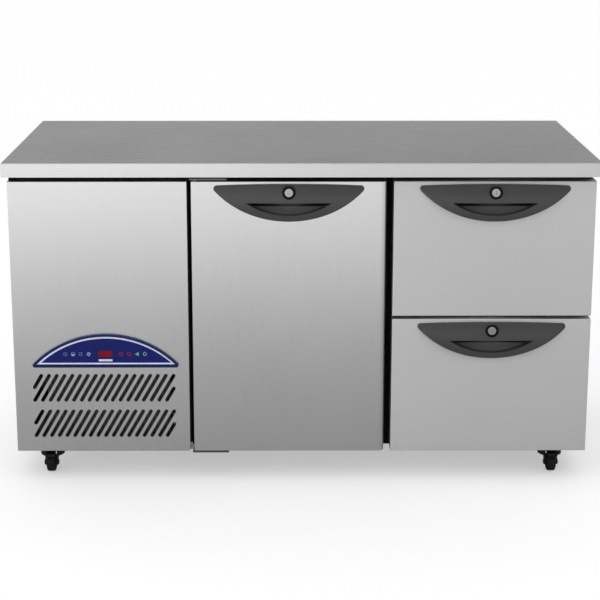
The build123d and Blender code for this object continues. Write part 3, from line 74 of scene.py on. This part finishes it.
class Nodes:
    """The emptied node tree of a material or world, with short ways to fill it."""

    def __init__(self, owner):
        owner.use_nodes = True
        self.tree = owner.node_tree
        self.tree.nodes.clear()

    def add(self, kind, **settings):
        """A new node with some of its settings changed."""
        node = self.tree.nodes.new(kind)
        for key, value in settings.items():
            setattr(node, key, value)
        return node

    def link(self, a, b):
        """Lead an output to an input."""
        self.tree.links.new(a, b)

    def feed(self, socket, value):
        """Give an input a number, a vector or a colour, or lead an output to it."""
        if isinstance(value, bpy.types.NodeSocket):
            self.link(value, socket)
        elif socket.type == "RGBA":
            socket.default_value = (*value, 1)
        else:
            socket.default_value = value

    def fed(self, kind, *values, **settings):
        """The first output of a new node whose first inputs are given."""
        node = self.add(kind, **settings)
        for socket, value in zip(node.inputs, values):
            self.feed(socket, value)
        return node.outputs[0]

    def coords(self, kind):
        """One of the texture coordinates."""
        return self.add("ShaderNodeTexCoord").outputs[kind]

    def axes(self, vector):
        """The outputs X, Y and Z of a vector."""
        node = self.add("ShaderNodeSeparateXYZ")
        self.link(vector, node.inputs[0])
        return node.outputs

    def math(self, operation, a, b):
        """One sum on two values."""
        return self.fed("ShaderNodeMath", a, b, operation=operation)

    def vector(self, operation, *values):
        """One sum on vectors that gives a vector."""
        return self.fed("ShaderNodeVectorMath", *values, operation=operation)

    def length(self, vector):
        """How long a vector is."""
        node = self.add("ShaderNodeVectorMath", operation="LENGTH")
        self.link(vector, node.inputs[0])
        return node.outputs["Value"]

    def carried(self, value, start, end, low=0.0, high=1.0, curve="LINEAR"):
        """A value carried from the range start to end into low to high, and held at both ends."""
        node = self.add("ShaderNodeMapRange", interpolation_type=curve)
        node.inputs["From Min"].default_value = start
        node.inputs["From Max"].default_value = end
        node.inputs["To Min"].default_value = low
        node.inputs["To Max"].default_value = high
        self.link(value, node.inputs["Value"])
        return node.outputs["Result"]

    def mixed(self, factor, low, high, mode="MIX"):
        """Two colours mixed by a value."""
        node = self.add("ShaderNodeMix", data_type="RGBA", blend_type=mode)
        self.feed(node.inputs[0], factor)
        self.feed(node.inputs[6], low)
        self.feed(node.inputs[7], high)
        return node.outputs[2]


# World and floor

world_horizon = 1.0
world_ceiling = 0.2
horizon_top = 0.095
ceiling_start = 0.14

floor_size = 60
floor_colour = (0.82, 0.82, 0.82)
floor_glow = 0.41

# Mirrored in the metal alone, the floor is darker near the counter's footprint and towards the right
footprint_half = (0.765, 0.33, 0)
floor_shade = 0.57
floor_shade_reach = 4.8
floor_shade_right = 0.12
floor_shade_side = 1.8


def make_world():
    """A pale studio: white round the horizon and dimmer overhead."""
    world = bpy.data.worlds.new("studio")
    bpy.context.scene.world = world
    sky = Nodes(world)
    ramp = sky.add("ShaderNodeValToRGB")
    steps = ((horizon_top, world_horizon), (ceiling_start, world_ceiling))
    for element, (position, grey) in zip(ramp.color_ramp.elements, steps):
        element.position = position
        element.color = (grey, grey, grey, 1)
    sky.link(sky.axes(sky.coords("Generated"))["Z"], ramp.inputs[0])
    light = sky.fed("ShaderNodeBackground", ramp.outputs["Color"])
    out = sky.add("ShaderNodeOutputWorld")
    sky.link(light, out.inputs["Surface"])


def floor_surface(look):
    """A shader that is white in view and in metal, and dimmed in metal near the counter."""
    path = look.add("ShaderNodeLightPath").outputs
    seen = look.math("MAXIMUM", path["Is Camera Ray"], path["Is Glossy Ray"])
    seen = look.math("MAXIMUM", seen, path["Is Transmission Ray"])
    diffuse = look.fed("ShaderNodeBsdfDiffuse", floor_colour)
    glow = look.fed("ShaderNodeEmission", full, look.math("MULTIPLY", seen, floor_glow))
    pale = look.fed("ShaderNodeAddShader", diffuse, glow)
    place = look.coords("Object")
    beyond = look.vector("SUBTRACT", look.vector("ABSOLUTE", place), footprint_half)
    reach = look.length(look.vector("MAXIMUM", beyond, (0, 0, 0)))
    near = look.carried(reach, 0.0, floor_shade_reach, floor_shade, 0.0, "SMOOTHERSTEP")
    side = floor_shade_side
    right = look.carried(look.axes(place)["X"], -side, side, 0.0, floor_shade_right, "SMOOTHSTEP")
    shade = look.math("MULTIPLY", look.math("ADD", near, right), path["Is Glossy Ray"])
    return look.fed("ShaderNodeMixShader", shade, pale, look.fed("ShaderNodeBsdfDiffuse", black))


def make_floor():
    """A large pale floor that stays white in view and keeps the counter's shadow."""
    half = floor_size / 2
    mesh = bpy.data.meshes.new("floor")
    corners = [(-half, -half, 0), (half, -half, 0), (half, half, 0), (-half, half, 0)]
    mesh.from_pydata(corners, [], [(0, 1, 2, 3)])
    floor = put("floor", mesh)
    material = bpy.data.materials.new("floor")
    look = Nodes(material)
    out = look.add("ShaderNodeOutputMaterial")
    look.link(floor_surface(look), out.inputs["Surface"])
    mesh.materials.append(material)


# Lamps

sun_strength = 1.6
sun_angle = 120
sun_turn = (-4, -12, 0)

# Each soft lamp's name, place, target, size and power
lamps = (
    ("key", (-1.9, -4.8, 1.7), (0, -0.3, 0.5), (4.2, 3.0), 30),
    ("fill", (2.8, -3.0, 2.2), (0, 0, 0.5), (1.6, 1.6), 6),
)


def area_light(name, place, target, size, power):
    """A soft rectangular lamp turned towards a point."""
    data = bpy.data.lights.new(name, "AREA")
    data.shape = "RECTANGLE"
    data.size, data.size_y = size
    data.energy = power
    lamp = put(name, data)
    lamp.location = place
    aim = Vector(target) - Vector(place)
    lamp.rotation_euler = aim.to_track_quat("-Z", "Y").to_euler()


def make_lights():
    """One broad sun for the even floor and two soft lamps for the metal."""
    data = bpy.data.lights.new("sun", "SUN")
    data.energy = sun_strength
    data.angle = math.radians(sun_angle)
    sun = put("sun", data)
    sun.rotation_euler = tuple(math.radians(a) for a in sun_turn)
    for lamp in lamps:
        area_light(*lamp)


# Materials

# The part of a noise's range that is used, since it seldom goes further
noise_low = 0.3
noise_high = 0.7


class Look(Nodes):
    """A procedural material: a Principled shader whose colour, roughness and bump come from nodes."""

    def __init__(self, name, metallic=0.0, roughness=0.5, coat=0.0, specular=0.5):
        self.material = bpy.data.materials.new(name)
        super().__init__(self.material)
        self.shader = self.add("ShaderNodeBsdfPrincipled")
        self.shader.inputs["Metallic"].default_value = metallic
        self.shader.inputs["Roughness"].default_value = roughness
        self.shader.inputs["Coat Weight"].default_value = coat
        self.shader.inputs["Specular IOR Level"].default_value = specular
        out = self.add("ShaderNodeOutputMaterial")
        self.link(self.shader.outputs["BSDF"], out.inputs["Surface"])
        self.place = self.coords("Object")

    def noise(self, scale, stretch=(1, 1, 1), detail=3.0):
        """Noise over the object's own space, stretched per axis."""
        mapping = self.add("ShaderNodeMapping")
        mapping.inputs["Scale"].default_value = stretch
        self.link(self.place, mapping.inputs["Vector"])
        texture = self.add("ShaderNodeTexNoise")
        texture.inputs["Scale"].default_value = scale
        texture.inputs["Detail"].default_value = detail
        self.link(mapping.outputs["Vector"], texture.inputs["Vector"])
        return texture.outputs["Fac"]

    def spread(self, noise, low, high):
        """A noise brought between two values."""
        return self.carried(noise, noise_low, noise_high, low, high)

    def between(self, noise, low, high):
        """A colour that wanders between two others with a noise."""
        return self.mixed(self.spread(noise, 0.0, 1.0), low, high)

    def dimmed(self, tone, noise, least):
        """A colour dimmed in patches, at most by one tint."""
        return self.mixed(1.0, tone, self.between(noise, least, full), "MULTIPLY")

    def colour(self, socket):
        self.link(socket, self.shader.inputs["Base Color"])

    def roughness(self, socket):
        self.link(socket, self.shader.inputs["Roughness"])

    def bump(self, height, strength, distance, normal=None):
        """Fine relief, on top of another normal if one is given."""
        node = self.add("ShaderNodeBump")
        node.inputs["Strength"].default_value = strength
        node.inputs["Distance"].default_value = distance
        self.link(height, node.inputs["Height"])
        if normal is not None:
            self.link(normal, node.inputs["Normal"])
        self.link(node.outputs["Normal"], self.shader.inputs["Normal"])

    def glow(self, socket, strength):
        """Light of its own."""
        self.link(socket, self.shader.inputs["Emission Color"])
        self.shader.inputs["Emission Strength"].default_value = strength


def tint(colour, factor):
    """A colour made lighter or darker."""
    return tuple(min(1.0, c * factor) for c in colour)


# Half the body's width without its side sheets' thickness, and the near black painted behind them as
# shade
side_skin = 0.7636
skin_painted_shade = (0.004, 0.004, 0.004)

steel_wash = (0.965, 0.965, 0.97)
fin_gap_shade = (0.2, 0.2, 0.21)
fin_light = (0.68, 0.69, 0.7)
fin_dirt = (0.86, 0.85, 0.83)
foam_dark = (0.72, 0.62, 0.36)
foam_light = (0.9, 0.8, 0.55)
copper_dark = (0.62, 0.3, 0.17)
copper_light = (0.78, 0.45, 0.3)

# The control moulding's rim and face, and the level in Y where the face begins
dish_level = -0.3373
rim_dark = (0.01, 0.016, 0.08)
rim_light = (0.014, 0.022, 0.1)
dish_dark = (0.004, 0.01, 0.14)
dish_light = (0.006, 0.014, 0.18)

# The controller's screen lies before this level in Y
screen_level = -0.3355

# The handles' pockets with painted light in them, and the painted shadow under their lips
lip_under_lock = 0.028
lip_front = -0.3466
lip_slant = 0.27
lip_shade_start = 0.0035
lip_shade_end = 0.0075
pocket_height = 0.034
pocket_radius = 0.1982
pocket_blend = 0.003
handle_face = (0.062, 0.062, 0.064)
pocket_painted_light = (0.19, 0.19, 0.193)
lip_painted_shadow = (0.008, 0.008, 0.008)
handle_cloud = (0.92, 0.92, 0.92)
handle_round = 0.0014


def brushed(
    name, colour, roughness, grain, depth=0.00008, streak=0.025, smear=0.0, turn=0.0, skin=None
):
    """Brushed steel: fine streaks along one axis and broad waves, with painted shade behind an outer
    skin.
    """
    look = Look(name, metallic=1.0)
    if smear:
        tangent = look.add("ShaderNodeTangent", direction_type="RADIAL", axis="Z")
        look.link(tangent.outputs[0], look.shader.inputs["Tangent"])
        look.shader.inputs["Anisotropic"].default_value = smear
        look.shader.inputs["Anisotropic Rotation"].default_value = turn
    fine = look.noise(1.0, grain, 4.0)
    broad = look.noise(2.2, detail=2.0)
    base = look.between(fine, tint(colour, 1 - streak), tint(colour, 1 + streak))
    tone = look.dimmed(base, broad, steel_wash)
    # Painted shade: inside the outer skin the colour turns near black, so the gaps behind the side
    # sheets read dark.
    if skin:
        out = look.math("ABSOLUTE", look.axes(look.place)["X"], 0.0)
        tone = look.mixed(look.math("LESS_THAN", out, skin), tone, skin_painted_shade)
    look.colour(tone)
    rough = look.spread(fine, roughness - 0.03, roughness + 0.03)
    look.roughness(look.math("ADD", rough, look.spread(broad, -0.02, 0.03)))
    look.bump(fine, 0.09, depth)
    return look.material


def zinc(name, colour, roughness):
    """Zinc-coated sheet: soft crystals of slightly different greys."""
    look = Look(name, metallic=1.0)
    cells = look.add("ShaderNodeTexVoronoi")
    cells.inputs["Scale"].default_value = 90
    look.link(look.place, cells.inputs["Vector"])
    crystal = look.fed("ShaderNodeSeparateColor", cells.outputs["Color"])
    look.colour(look.mixed(crystal, tint(colour, 0.86), tint(colour, 1.1)))
    look.roughness(look.spread(look.noise(25), roughness - 0.06, roughness + 0.08))
    look.bump(look.noise(160), 0.08, 0.0001)
    return look.material


def handle_plastic(name, middle, lip):
    """Grained handle moulding: painted light makes its finger pocket paler, and a painted shadow draws a
    dark line under the lip.
    """
    look = Look(name, roughness=0.36)
    place = look.axes(look.place)
    below = look.math("SUBTRACT", lip, place["Z"])
    centre = look.add("ShaderNodeCombineXYZ")
    look.link(look.math("SUBTRACT", place["X"], middle), centre.inputs["X"])
    look.link(look.math("ADD", below, pocket_radius - pocket_height), centre.inputs["Z"])
    out = look.length(centre.outputs[0])
    mouth = look.carried(out, pocket_radius, pocket_radius - pocket_blend, curve="SMOOTHSTEP")
    inside = look.math("MULTIPLY", mouth, look.math("GREATER_THAN", below, 0.0))
    slant = look.math("MULTIPLY", look.math("SUBTRACT", place["Y"], lip_front), lip_slant)
    under = look.math("SUBTRACT", below, slant)
    near = look.carried(under, lip_shade_end, lip_shade_start, curve="SMOOTHSTEP")
    # Painted light: the pocket is paler than the face, as if lit.
    tone = look.mixed(inside, handle_face, pocket_painted_light)
    # Painted shadow: a dark line under the lip, slanted as if cast by light from above the front.
    tone = look.mixed(look.math("MULTIPLY", near, inside), tone, lip_painted_shadow)
    look.colour(look.dimmed(tone, look.noise(6), handle_cloud))
    look.roughness(look.spread(look.noise(30), 0.31, 0.41))
    soft = look.add("ShaderNodeBevel", samples=4)
    soft.inputs["Radius"].default_value = handle_round
    look.bump(look.noise(1100, detail=2.0), 0.3, 0.00006, soft.outputs[0])
    return look.material


def moulded(name, colour, roughness):
    """Moulded plastic with a fine eroded texture and a slight unevenness in its colour."""
    look = Look(name, roughness=roughness)
    look.colour(look.between(look.noise(6), tint(colour, 0.92), tint(colour, 1.08)))
    look.roughness(look.spread(look.noise(30), roughness - 0.05, roughness + 0.05))
    look.bump(look.noise(1400, detail=2.0), 0.35, 0.00006)
    return look.material


def soft_rubber(name, colour, roughness, specular):
    """Rubber with a faint bloom and moulding dust."""
    look = Look(name, roughness=roughness, specular=specular)
    look.colour(look.between(look.noise(40, detail=6.0), colour, tint(colour, 1.7)))
    look.roughness(look.spread(look.noise(90), roughness - 0.06, roughness + 0.08))
    look.bump(look.noise(700), 0.2, 0.00008)
    return look.material


def painted(name, colour, roughness, coat=0.25, specular=0.5):
    """Painted or powder-coated metal with a light orange peel."""
    look = Look(name, roughness=roughness, coat=coat, specular=specular)
    look.colour(look.between(look.noise(9), tint(colour, 0.94), tint(colour, 1.06)))
    look.roughness(look.spread(look.noise(45), roughness - 0.05, roughness + 0.05))
    look.bump(look.noise(420, detail=2.0), 0.12, 0.00012)
    return look.material


def foam(name):
    """Cut edge of yellow insulating foam."""
    look = Look(name, roughness=0.9, specular=0.2)
    cells = look.noise(260, detail=5.0)
    look.colour(look.between(cells, foam_dark, foam_light))
    look.bump(cells, 0.6, 0.0006)
    return look.material


def copper(name):
    """Drawn copper pipe with dull tarnish in patches."""
    look = Look(name, metallic=1.0)
    look.colour(look.between(look.noise(18, detail=5.0), copper_dark, copper_light))
    look.roughness(look.spread(look.noise(35), 0.28, 0.48))
    look.bump(look.noise(300), 0.08, 0.00005)
    return look.material


def fins(name, axis):
    """Aluminium fins: close ribs across one axis, finer than the solid's own, with painted shade between
    them.
    """
    look = Look(name, metallic=1.0)
    wave = look.add("ShaderNodeTexWave", wave_type="BANDS", bands_direction=axis)
    wave.inputs["Scale"].default_value = 62
    wave.inputs["Distortion"].default_value = 0.0
    look.link(look.place, wave.inputs["Vector"])
    ribs = wave.outputs["Fac"]
    # Painted shade: the dark bands stand for the shaded gaps between the fins.
    look.colour(look.dimmed(look.mixed(ribs, fin_gap_shade, fin_light), look.noise(14), fin_dirt))
    look.roughness(look.spread(look.noise(60), 0.32, 0.46))
    look.bump(ribs, 0.5, 0.0008)
    return look.material


def control_face(name):
    """Printed control moulding: a darker rim round the bluer dished face."""
    look = Look(name, roughness=0.3, specular=0.22)
    face = look.math("GREATER_THAN", look.axes(look.place)["Y"], dish_level)
    weave = look.noise(300, detail=2.0)
    rim = look.between(weave, rim_dark, rim_light)
    dish = look.between(weave, dish_dark, dish_light)
    look.colour(look.mixed(face, rim, dish))
    look.roughness(look.spread(look.noise(50), 0.26, 0.36))
    look.bump(look.noise(600), 0.05, 0.00004)
    return look.material


def display(name, colour, body_colour, strength):
    """A controller whose screen glows while its housing behind stays dull."""
    look = Look(name, roughness=0.3, specular=0.2)
    screen = look.math("LESS_THAN", look.axes(look.place)["Y"], screen_level)
    lit = look.between(look.noise(90), tint(colour, 0.85), colour)
    look.colour(look.mixed(screen, body_colour, lit))
    look.glow(look.mixed(screen, black, lit), strength)
    return look.material


def print_ink(name, colour, strength):
    """A print with a slightly uneven painted glow."""
    look = Look(name, roughness=0.3, specular=0.2)
    shade = look.between(look.noise(90), tint(colour, 0.85), colour)
    look.colour(shade)
    # Painted light: the glow lifts a print that gives no light of its own.
    look.glow(shade, strength)
    return look.material


# Prints on the control moulding and rings round the locks, in millimetres on the front

bezel_x = -519.5
bezel_z = 317.5
bezel_half = 201.5
bezel_rise = 92
print_y = -336.8
print_thickness = 0.35

# The row of signs: its level, each sign's place along it, and the usual ring's edges
sign_z = 355.6
faint_ring_x = -627
half_disc_x = -606.6
bars_left, bars_right = -591.5, -581.1
bars_cross = -587.6
fan_x = -565.2
red_ring_x = (-479.4, -458.0)
arrow_x = (-442.5, -433.6, -432.2)
white_ring_x = -416.4
sign_radius = 5.6

# The light bar's edges: left, right, bottom and top
light_bar = (-539, -502.5, 335.6, 341.2)

# How far the outline's outer and inner edges lie inside the moulding's arch, and over its foot
outline_inset = (6.2, 10.8)
outline_foot = (9.6, 13.9)
outline_steps = 64

# Each lock's place in X and Z, and the handle that carries it
lock_places = {"door": (-34.0, 794.0), "drawer_upper": (502.0, 794.0), "drawer_lower": (502.0, 422.0)}
handle_nodes = {
    "door": "door_handle",
    "drawer_upper": "drawer_handle_upper",
    "drawer_lower": "drawer_handle_lower",
}
boss_y = -348
lock_ring = (17.2, 11.6)
lock_ring_seat = 0.02
lock_ring_thickness = 0.7


def arc_points(radius, centre_z, floor_z, count):
    """Points along an arch from its left foot to its right foot, then back along its floor."""
    reach = math.sqrt(radius**2 - (floor_z - centre_z)**2)
    start = math.atan2(floor_z - centre_z, -reach)
    end = math.atan2(floor_z - centre_z, reach)
    points = []
    for k in range(count + 1):
        a = start + (end - start) * k / count
        points.append((bezel_x + radius * math.cos(a), centre_z + radius * math.sin(a)))
    for k in range(1, count):
        points.append((bezel_x + reach - 2 * reach * k / count, floor_z))
    return points


def flat_print(name, outlines, material, y=print_y, thickness=print_thickness, body="cabinet"):
    """Thin raised print from closed outlines in X and Z; an outline may carry an inner one as a hole."""
    vertices = []
    faces = []
    for outer, inner in outlines:
        loops = [outer] if inner is None else [outer, inner]
        base = len(vertices)
        count = len(outer)
        for depth in (y, y - thickness):
            for loop in loops:
                vertices.extend((px / 1000, depth / 1000, pz / 1000) for px, pz in loop)
        layer = count * len(loops)
        if inner is None:
            faces.append(tuple(base + layer + k for k in range(count)))
            faces.append(tuple(base + k for k in reversed(range(count))))
        for k in range(count):
            n = (k + 1) % count
            faces.append((base + k, base + n, base + layer + n, base + layer + k))
            if inner is not None:
                i0, i1 = base + count + k, base + count + n
                faces.append((i1, i0, i0 + layer, i1 + layer))
                faces.append((base + layer + k, base + layer + n, i1 + layer, i0 + layer))
                faces.append((base + n, base + k, i0, i1))
    mesh = bpy.data.meshes.new(name)
    mesh.from_pydata(vertices, [], faces)
    mesh.validate()
    mesh.update()
    piece = put(name, mesh)
    mesh.materials.append(material)
    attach(piece, body)


def ring(x, z, outer, inner, count=32):
    """A round print, with or without a hole."""
    def loop(radius):
        turns = [2 * math.pi * k / count for k in range(count)]
        return [(x + radius * math.cos(a), z + radius * math.sin(a)) for a in turns]
    return (loop(outer), loop(inner) if inner else None)


def bar(x0, x1, z0, z1):
    """A rectangular print."""
    return ([(x0, z0), (x1, z0), (x1, z1), (x0, z1)], None)


def lower_half(x, z, radius, count=16):
    """The lower half of a round print."""
    turns = [math.pi + math.pi * k / count for k in range(count + 1)]
    return ([(x + radius * math.cos(a), z + radius * math.sin(a)) for a in turns], None)


def petal(x, z, turn, reach, width):
    """One blade of a small fan sign."""
    points = []
    for along, across in ((0.12, 0), (0.45, -0.5), (0.85, -0.45), (1, 0.1), (0.75, 0.5), (0.4, 0.3)):
        a, b = along * reach, across * width
        c, s = math.cos(turn), math.sin(turn)
        points.append((x + a * c - b * s, z + a * s + b * c))
    return (points, None)


def arrow(tip, neck, back, z, half, shoulder):
    """An arrow head that points left, with its back corners cut."""
    below = [(neck, z - half), (back, z - shoulder)]
    above = [(back, z + shoulder), (neck, z + half)]
    return ([(tip, z), *below, *above], None)


def panel_outline():
    """The line along the control moulding's arch and foot."""
    radius = (bezel_half**2 + bezel_rise**2) / (2 * bezel_rise)
    centre_z = bezel_z + bezel_rise - radius
    return tuple(
        arc_points(radius - inset, centre_z, bezel_z + foot, outline_steps)
        for inset, foot in zip(outline_inset, outline_foot)
    )


def control_prints():
    """The outline, the signs and the light bar on the control moulding."""
    # The white, outline, red and green prints carry a painted glow; the grey and pale ones none.
    white = print_ink("print_white", (0.86, 0.88, 0.95), 0.05)
    outline_white = print_ink("print_outline", (0.76, 0.8, 1.0), 0.1)
    grey = print_ink("print_grey", (0.16, 0.2, 0.42), 0.0)
    pale = print_ink("print_pale", (0.42, 0.48, 0.72), 0.0)
    red = print_ink("print_red", (0.42, 0.02, 0.04), 0.05)
    green = print_ink("print_green", (0.14, 0.55, 0.2), 0.05)
    z = sign_z
    flat_print("panel_outline", [panel_outline()], outline_white)
    flat_print("panel_light_bar", [bar(*light_bar)], white)
    faint = [ring(faint_ring_x, z, sign_radius, 4.0), ring(faint_ring_x, z, 1.6, None, 16)]
    flat_print("panel_sign_faint_ring", faint, grey)
    disc = [ring(half_disc_x, z, sign_radius, 4.8), lower_half(half_disc_x, z, 5)]
    flat_print("panel_sign_half_disc", disc, pale)
    bars = [bar(bars_left, bars_right, z + d - 0.8, z + d + 0.8) for d in (-4, 0, 4)]
    bars += [bar(bars_cross + d - 0.8, bars_cross + d + 0.8, z - 3, z + 3) for d in (-2, 3)]
    flat_print("panel_sign_bars", bars, grey)
    blades = [petal(fan_x, z, math.radians(20 + 90 * k), 6, 4.2) for k in range(4)]
    flat_print("panel_sign_fan", blades, pale)
    for k, x in enumerate(red_ring_x):
        dotted = [ring(x, z, sign_radius, 4.2), ring(x, z, 1.3, None, 12)]
        flat_print(f"panel_sign_red_ring_{k}", dotted, red)
    flat_print("panel_sign_arrow", [arrow(*arrow_x, z, 5.4, 4.4)], green)
    x = white_ring_x
    power = [ring(x, z, 5, 3.4), bar(x - 0.6, x + 0.6, z + 2, z + 6.6)]
    flat_print("panel_sign_white_ring", power, pale)


def lock_rings():
    """A black ring between each lock and its boss."""
    ring_black = soft_rubber("ring_black", (0.003, 0.003, 0.003), 0.55, 0.12)
    y = boss_y + lock_ring_seat
    for body, (x, z) in lock_places.items():
        outlines = [ring(x, z, *lock_ring, 64)]
        flat_print(f"lock_ring_{body}", outlines, ring_black, y, lock_ring_thickness, body)


# How finely a brushed grain is spaced along each axis
grain_upright = (1400, 1400, 6)
grain_level = (6, 1400, 1400)
grain_inside = (300, 300, 12)
grain_boxes = (300, 9, 300)
grain_turned = (900, 900, 900)
grain_plated = (40, 40, 40)

plated_depth = 0.00003


def dress(material, *names):
    """Give CAD nodes a material."""
    for name in names:
        for place in nodes[name].material_slots:
            place.material = material


def starting(*prefixes):
    """The CAD nodes whose names start in one of these ways."""
    return [n for n in sorted(nodes) if n.startswith(prefixes)]


def dress_steel():
    """Brushed and plated steel: fronts and sheets, the cold box, and the fittings."""
    dress(brushed("steel_top", (0.68, 0.68, 0.68), 0.26, grain_level, streak=0.016), "worktop")
    sides = brushed("steel_sides", (0.7, 0.7, 0.7), 0.3, grain_upright, smear=0.5, skin=side_skin)
    dress(sides, "side_panels")
    dress(brushed("steel_unit", (0.74, 0.74, 0.74), 0.3, grain_upright, smear=0.5), "unit_front_panel")
    dress(brushed("steel_door", (0.75, 0.75, 0.75), 0.3, grain_upright, smear=0.5), "door_skin")
    # Painted light: the drawer fronts' steel is a lighter copy of the door's so they render brighter;
    # their level grain and roughness are their own.
    drawers = brushed("steel_drawers_lit", (0.88, 0.88, 0.885), 0.56, grain_level, smear=0.6, turn=0.25)
    dress(drawers, *starting("drawer_skin"))
    dress(brushed("steel_liner", (0.6, 0.6, 0.61), 0.4, grain_inside), "liner", "drawer_partition")
    dress(brushed("steel_boxes", (0.62, 0.62, 0.63), 0.36, grain_boxes), *starting("drawer_box"))
    dress(brushed("steel_cowl", (0.62, 0.62, 0.63), 0.42, grain_inside), "evaporator_housing")
    dress(brushed("steel_rack", (0.6, 0.6, 0.61), 0.38, grain_inside), "shelf_racking")
    chrome = brushed("lock_chrome", (0.46, 0.46, 0.46), 0.26, grain_turned, plated_depth)
    dress(chrome, *starting("door_lock", "drawer_lock"))
    plate = brushed("zinc_plate", (0.52, 0.52, 0.53), 0.32, grain_plated, plated_depth)
    dress(plate, "slide_outer_members", "castor_plates", *starting("slide_middle"))
    # Painted shade: the hinge brackets' steel is dark, as they sit in the shaded gap under the worktop.
    hinges = brushed("hinge_steel_shaded", (0.17, 0.17, 0.172), 0.42, grain_plated, plated_depth)
    dress(hinges, "hinge_brackets")


def dress_coated():
    """Zinc-coated sheet and painted metal."""
    dress(zinc("zinc_casing", (0.5, 0.51, 0.52), 0.42), "casing_wrap", "rear_grille", "base_pan")
    dress(zinc("zinc_unit", (0.5, 0.51, 0.52), 0.4), "condensing_tray", "condenser_shroud")
    # Painted shade: the front frame and the unit bay's frame are near black so the gaps round the fronts
    # read dark.
    dress(painted("frame_gap_shade", (0.003, 0.003, 0.0032), 0.7, coat=0.0, specular=0.12), "front_frame")
    dress(painted("bay_gap_shade", (0.006, 0.006, 0.0062), 0.6, coat=0.0, specular=0.2), "bay_frame")
    dress(painted("wire_white", (0.66, 0.67, 0.68), 0.35), "shelf")
    # The condenser coil's dark coat is partly its own finish and partly painted shade, so the bay behind
    # the louvres reads dark.
    dress(painted("coil_coat_and_shade", (0.1, 0.1, 0.102), 0.55, coat=0.0), "condenser_coil")
    dress(painted("motor_grey", (0.16, 0.165, 0.17), 0.4, coat=0.1), "fan_motors")
    dress(painted("compressor_black", (0.012, 0.012, 0.013), 0.32), "compressor")
    castors = painted("castor_black", (0.005, 0.005, 0.005), 0.45, coat=0.0, specular=0.3)
    dress(castors, *starting("castor_fork", "brake_pedal"))


def dress_plastic():
    """Plastic, rubber and foam."""
    dress(moulded("trim_dark", (0.05, 0.05, 0.052), 0.5), "mullion", "mains_inlet")
    dress(moulded("panel_white", (0.74, 0.74, 0.72), 0.38), *starting("door_inner", "drawer_inner"))
    dress(moulded("fan_black", (0.03, 0.03, 0.032), 0.42), "evaporator_fan", "condenser_fan")
    dress(moulded("box_grey", (0.2, 0.205, 0.21), 0.45), "electrical_box")
    gaskets = soft_rubber("gasket_black", (0.005, 0.005, 0.0055), 0.62, 0.2)
    dress(gaskets, *starting("door_gasket", "drawer_gasket"))
    treads = soft_rubber("tread_black", (0.006, 0.006, 0.0065), 0.6, 0.25)
    dress(treads, *starting("castor_wheel"))
    for body, (x, z) in lock_places.items():
        dress(handle_plastic(f"handle_{body}", x / 1000, z / 1000 - lip_under_lock), handle_nodes[body])
    dress(foam("foam"), "insulation")


def dress_controls_and_coils():
    """The control moulding, its display, the evaporator's fins and the pipes."""
    dress(control_face("control_blue"), "control_bezel")
    dress(display("display_red", (0.24, 0.002, 0.01), (0.02, 0.02, 0.02), 0.15), "controller_module")
    dress(fins("evaporator_fins", "Y"), "evaporator_coil")
    dress(copper("copper"), "refrigerant_pipes")


bpy.context.scene.view_settings.view_transform = "Standard"
aim_camera()
make_world()
make_floor()
make_lights()
dress_steel()
dress_coated()
dress_plastic()
dress_controls_and_coils()
control_prints()
lock_rings()
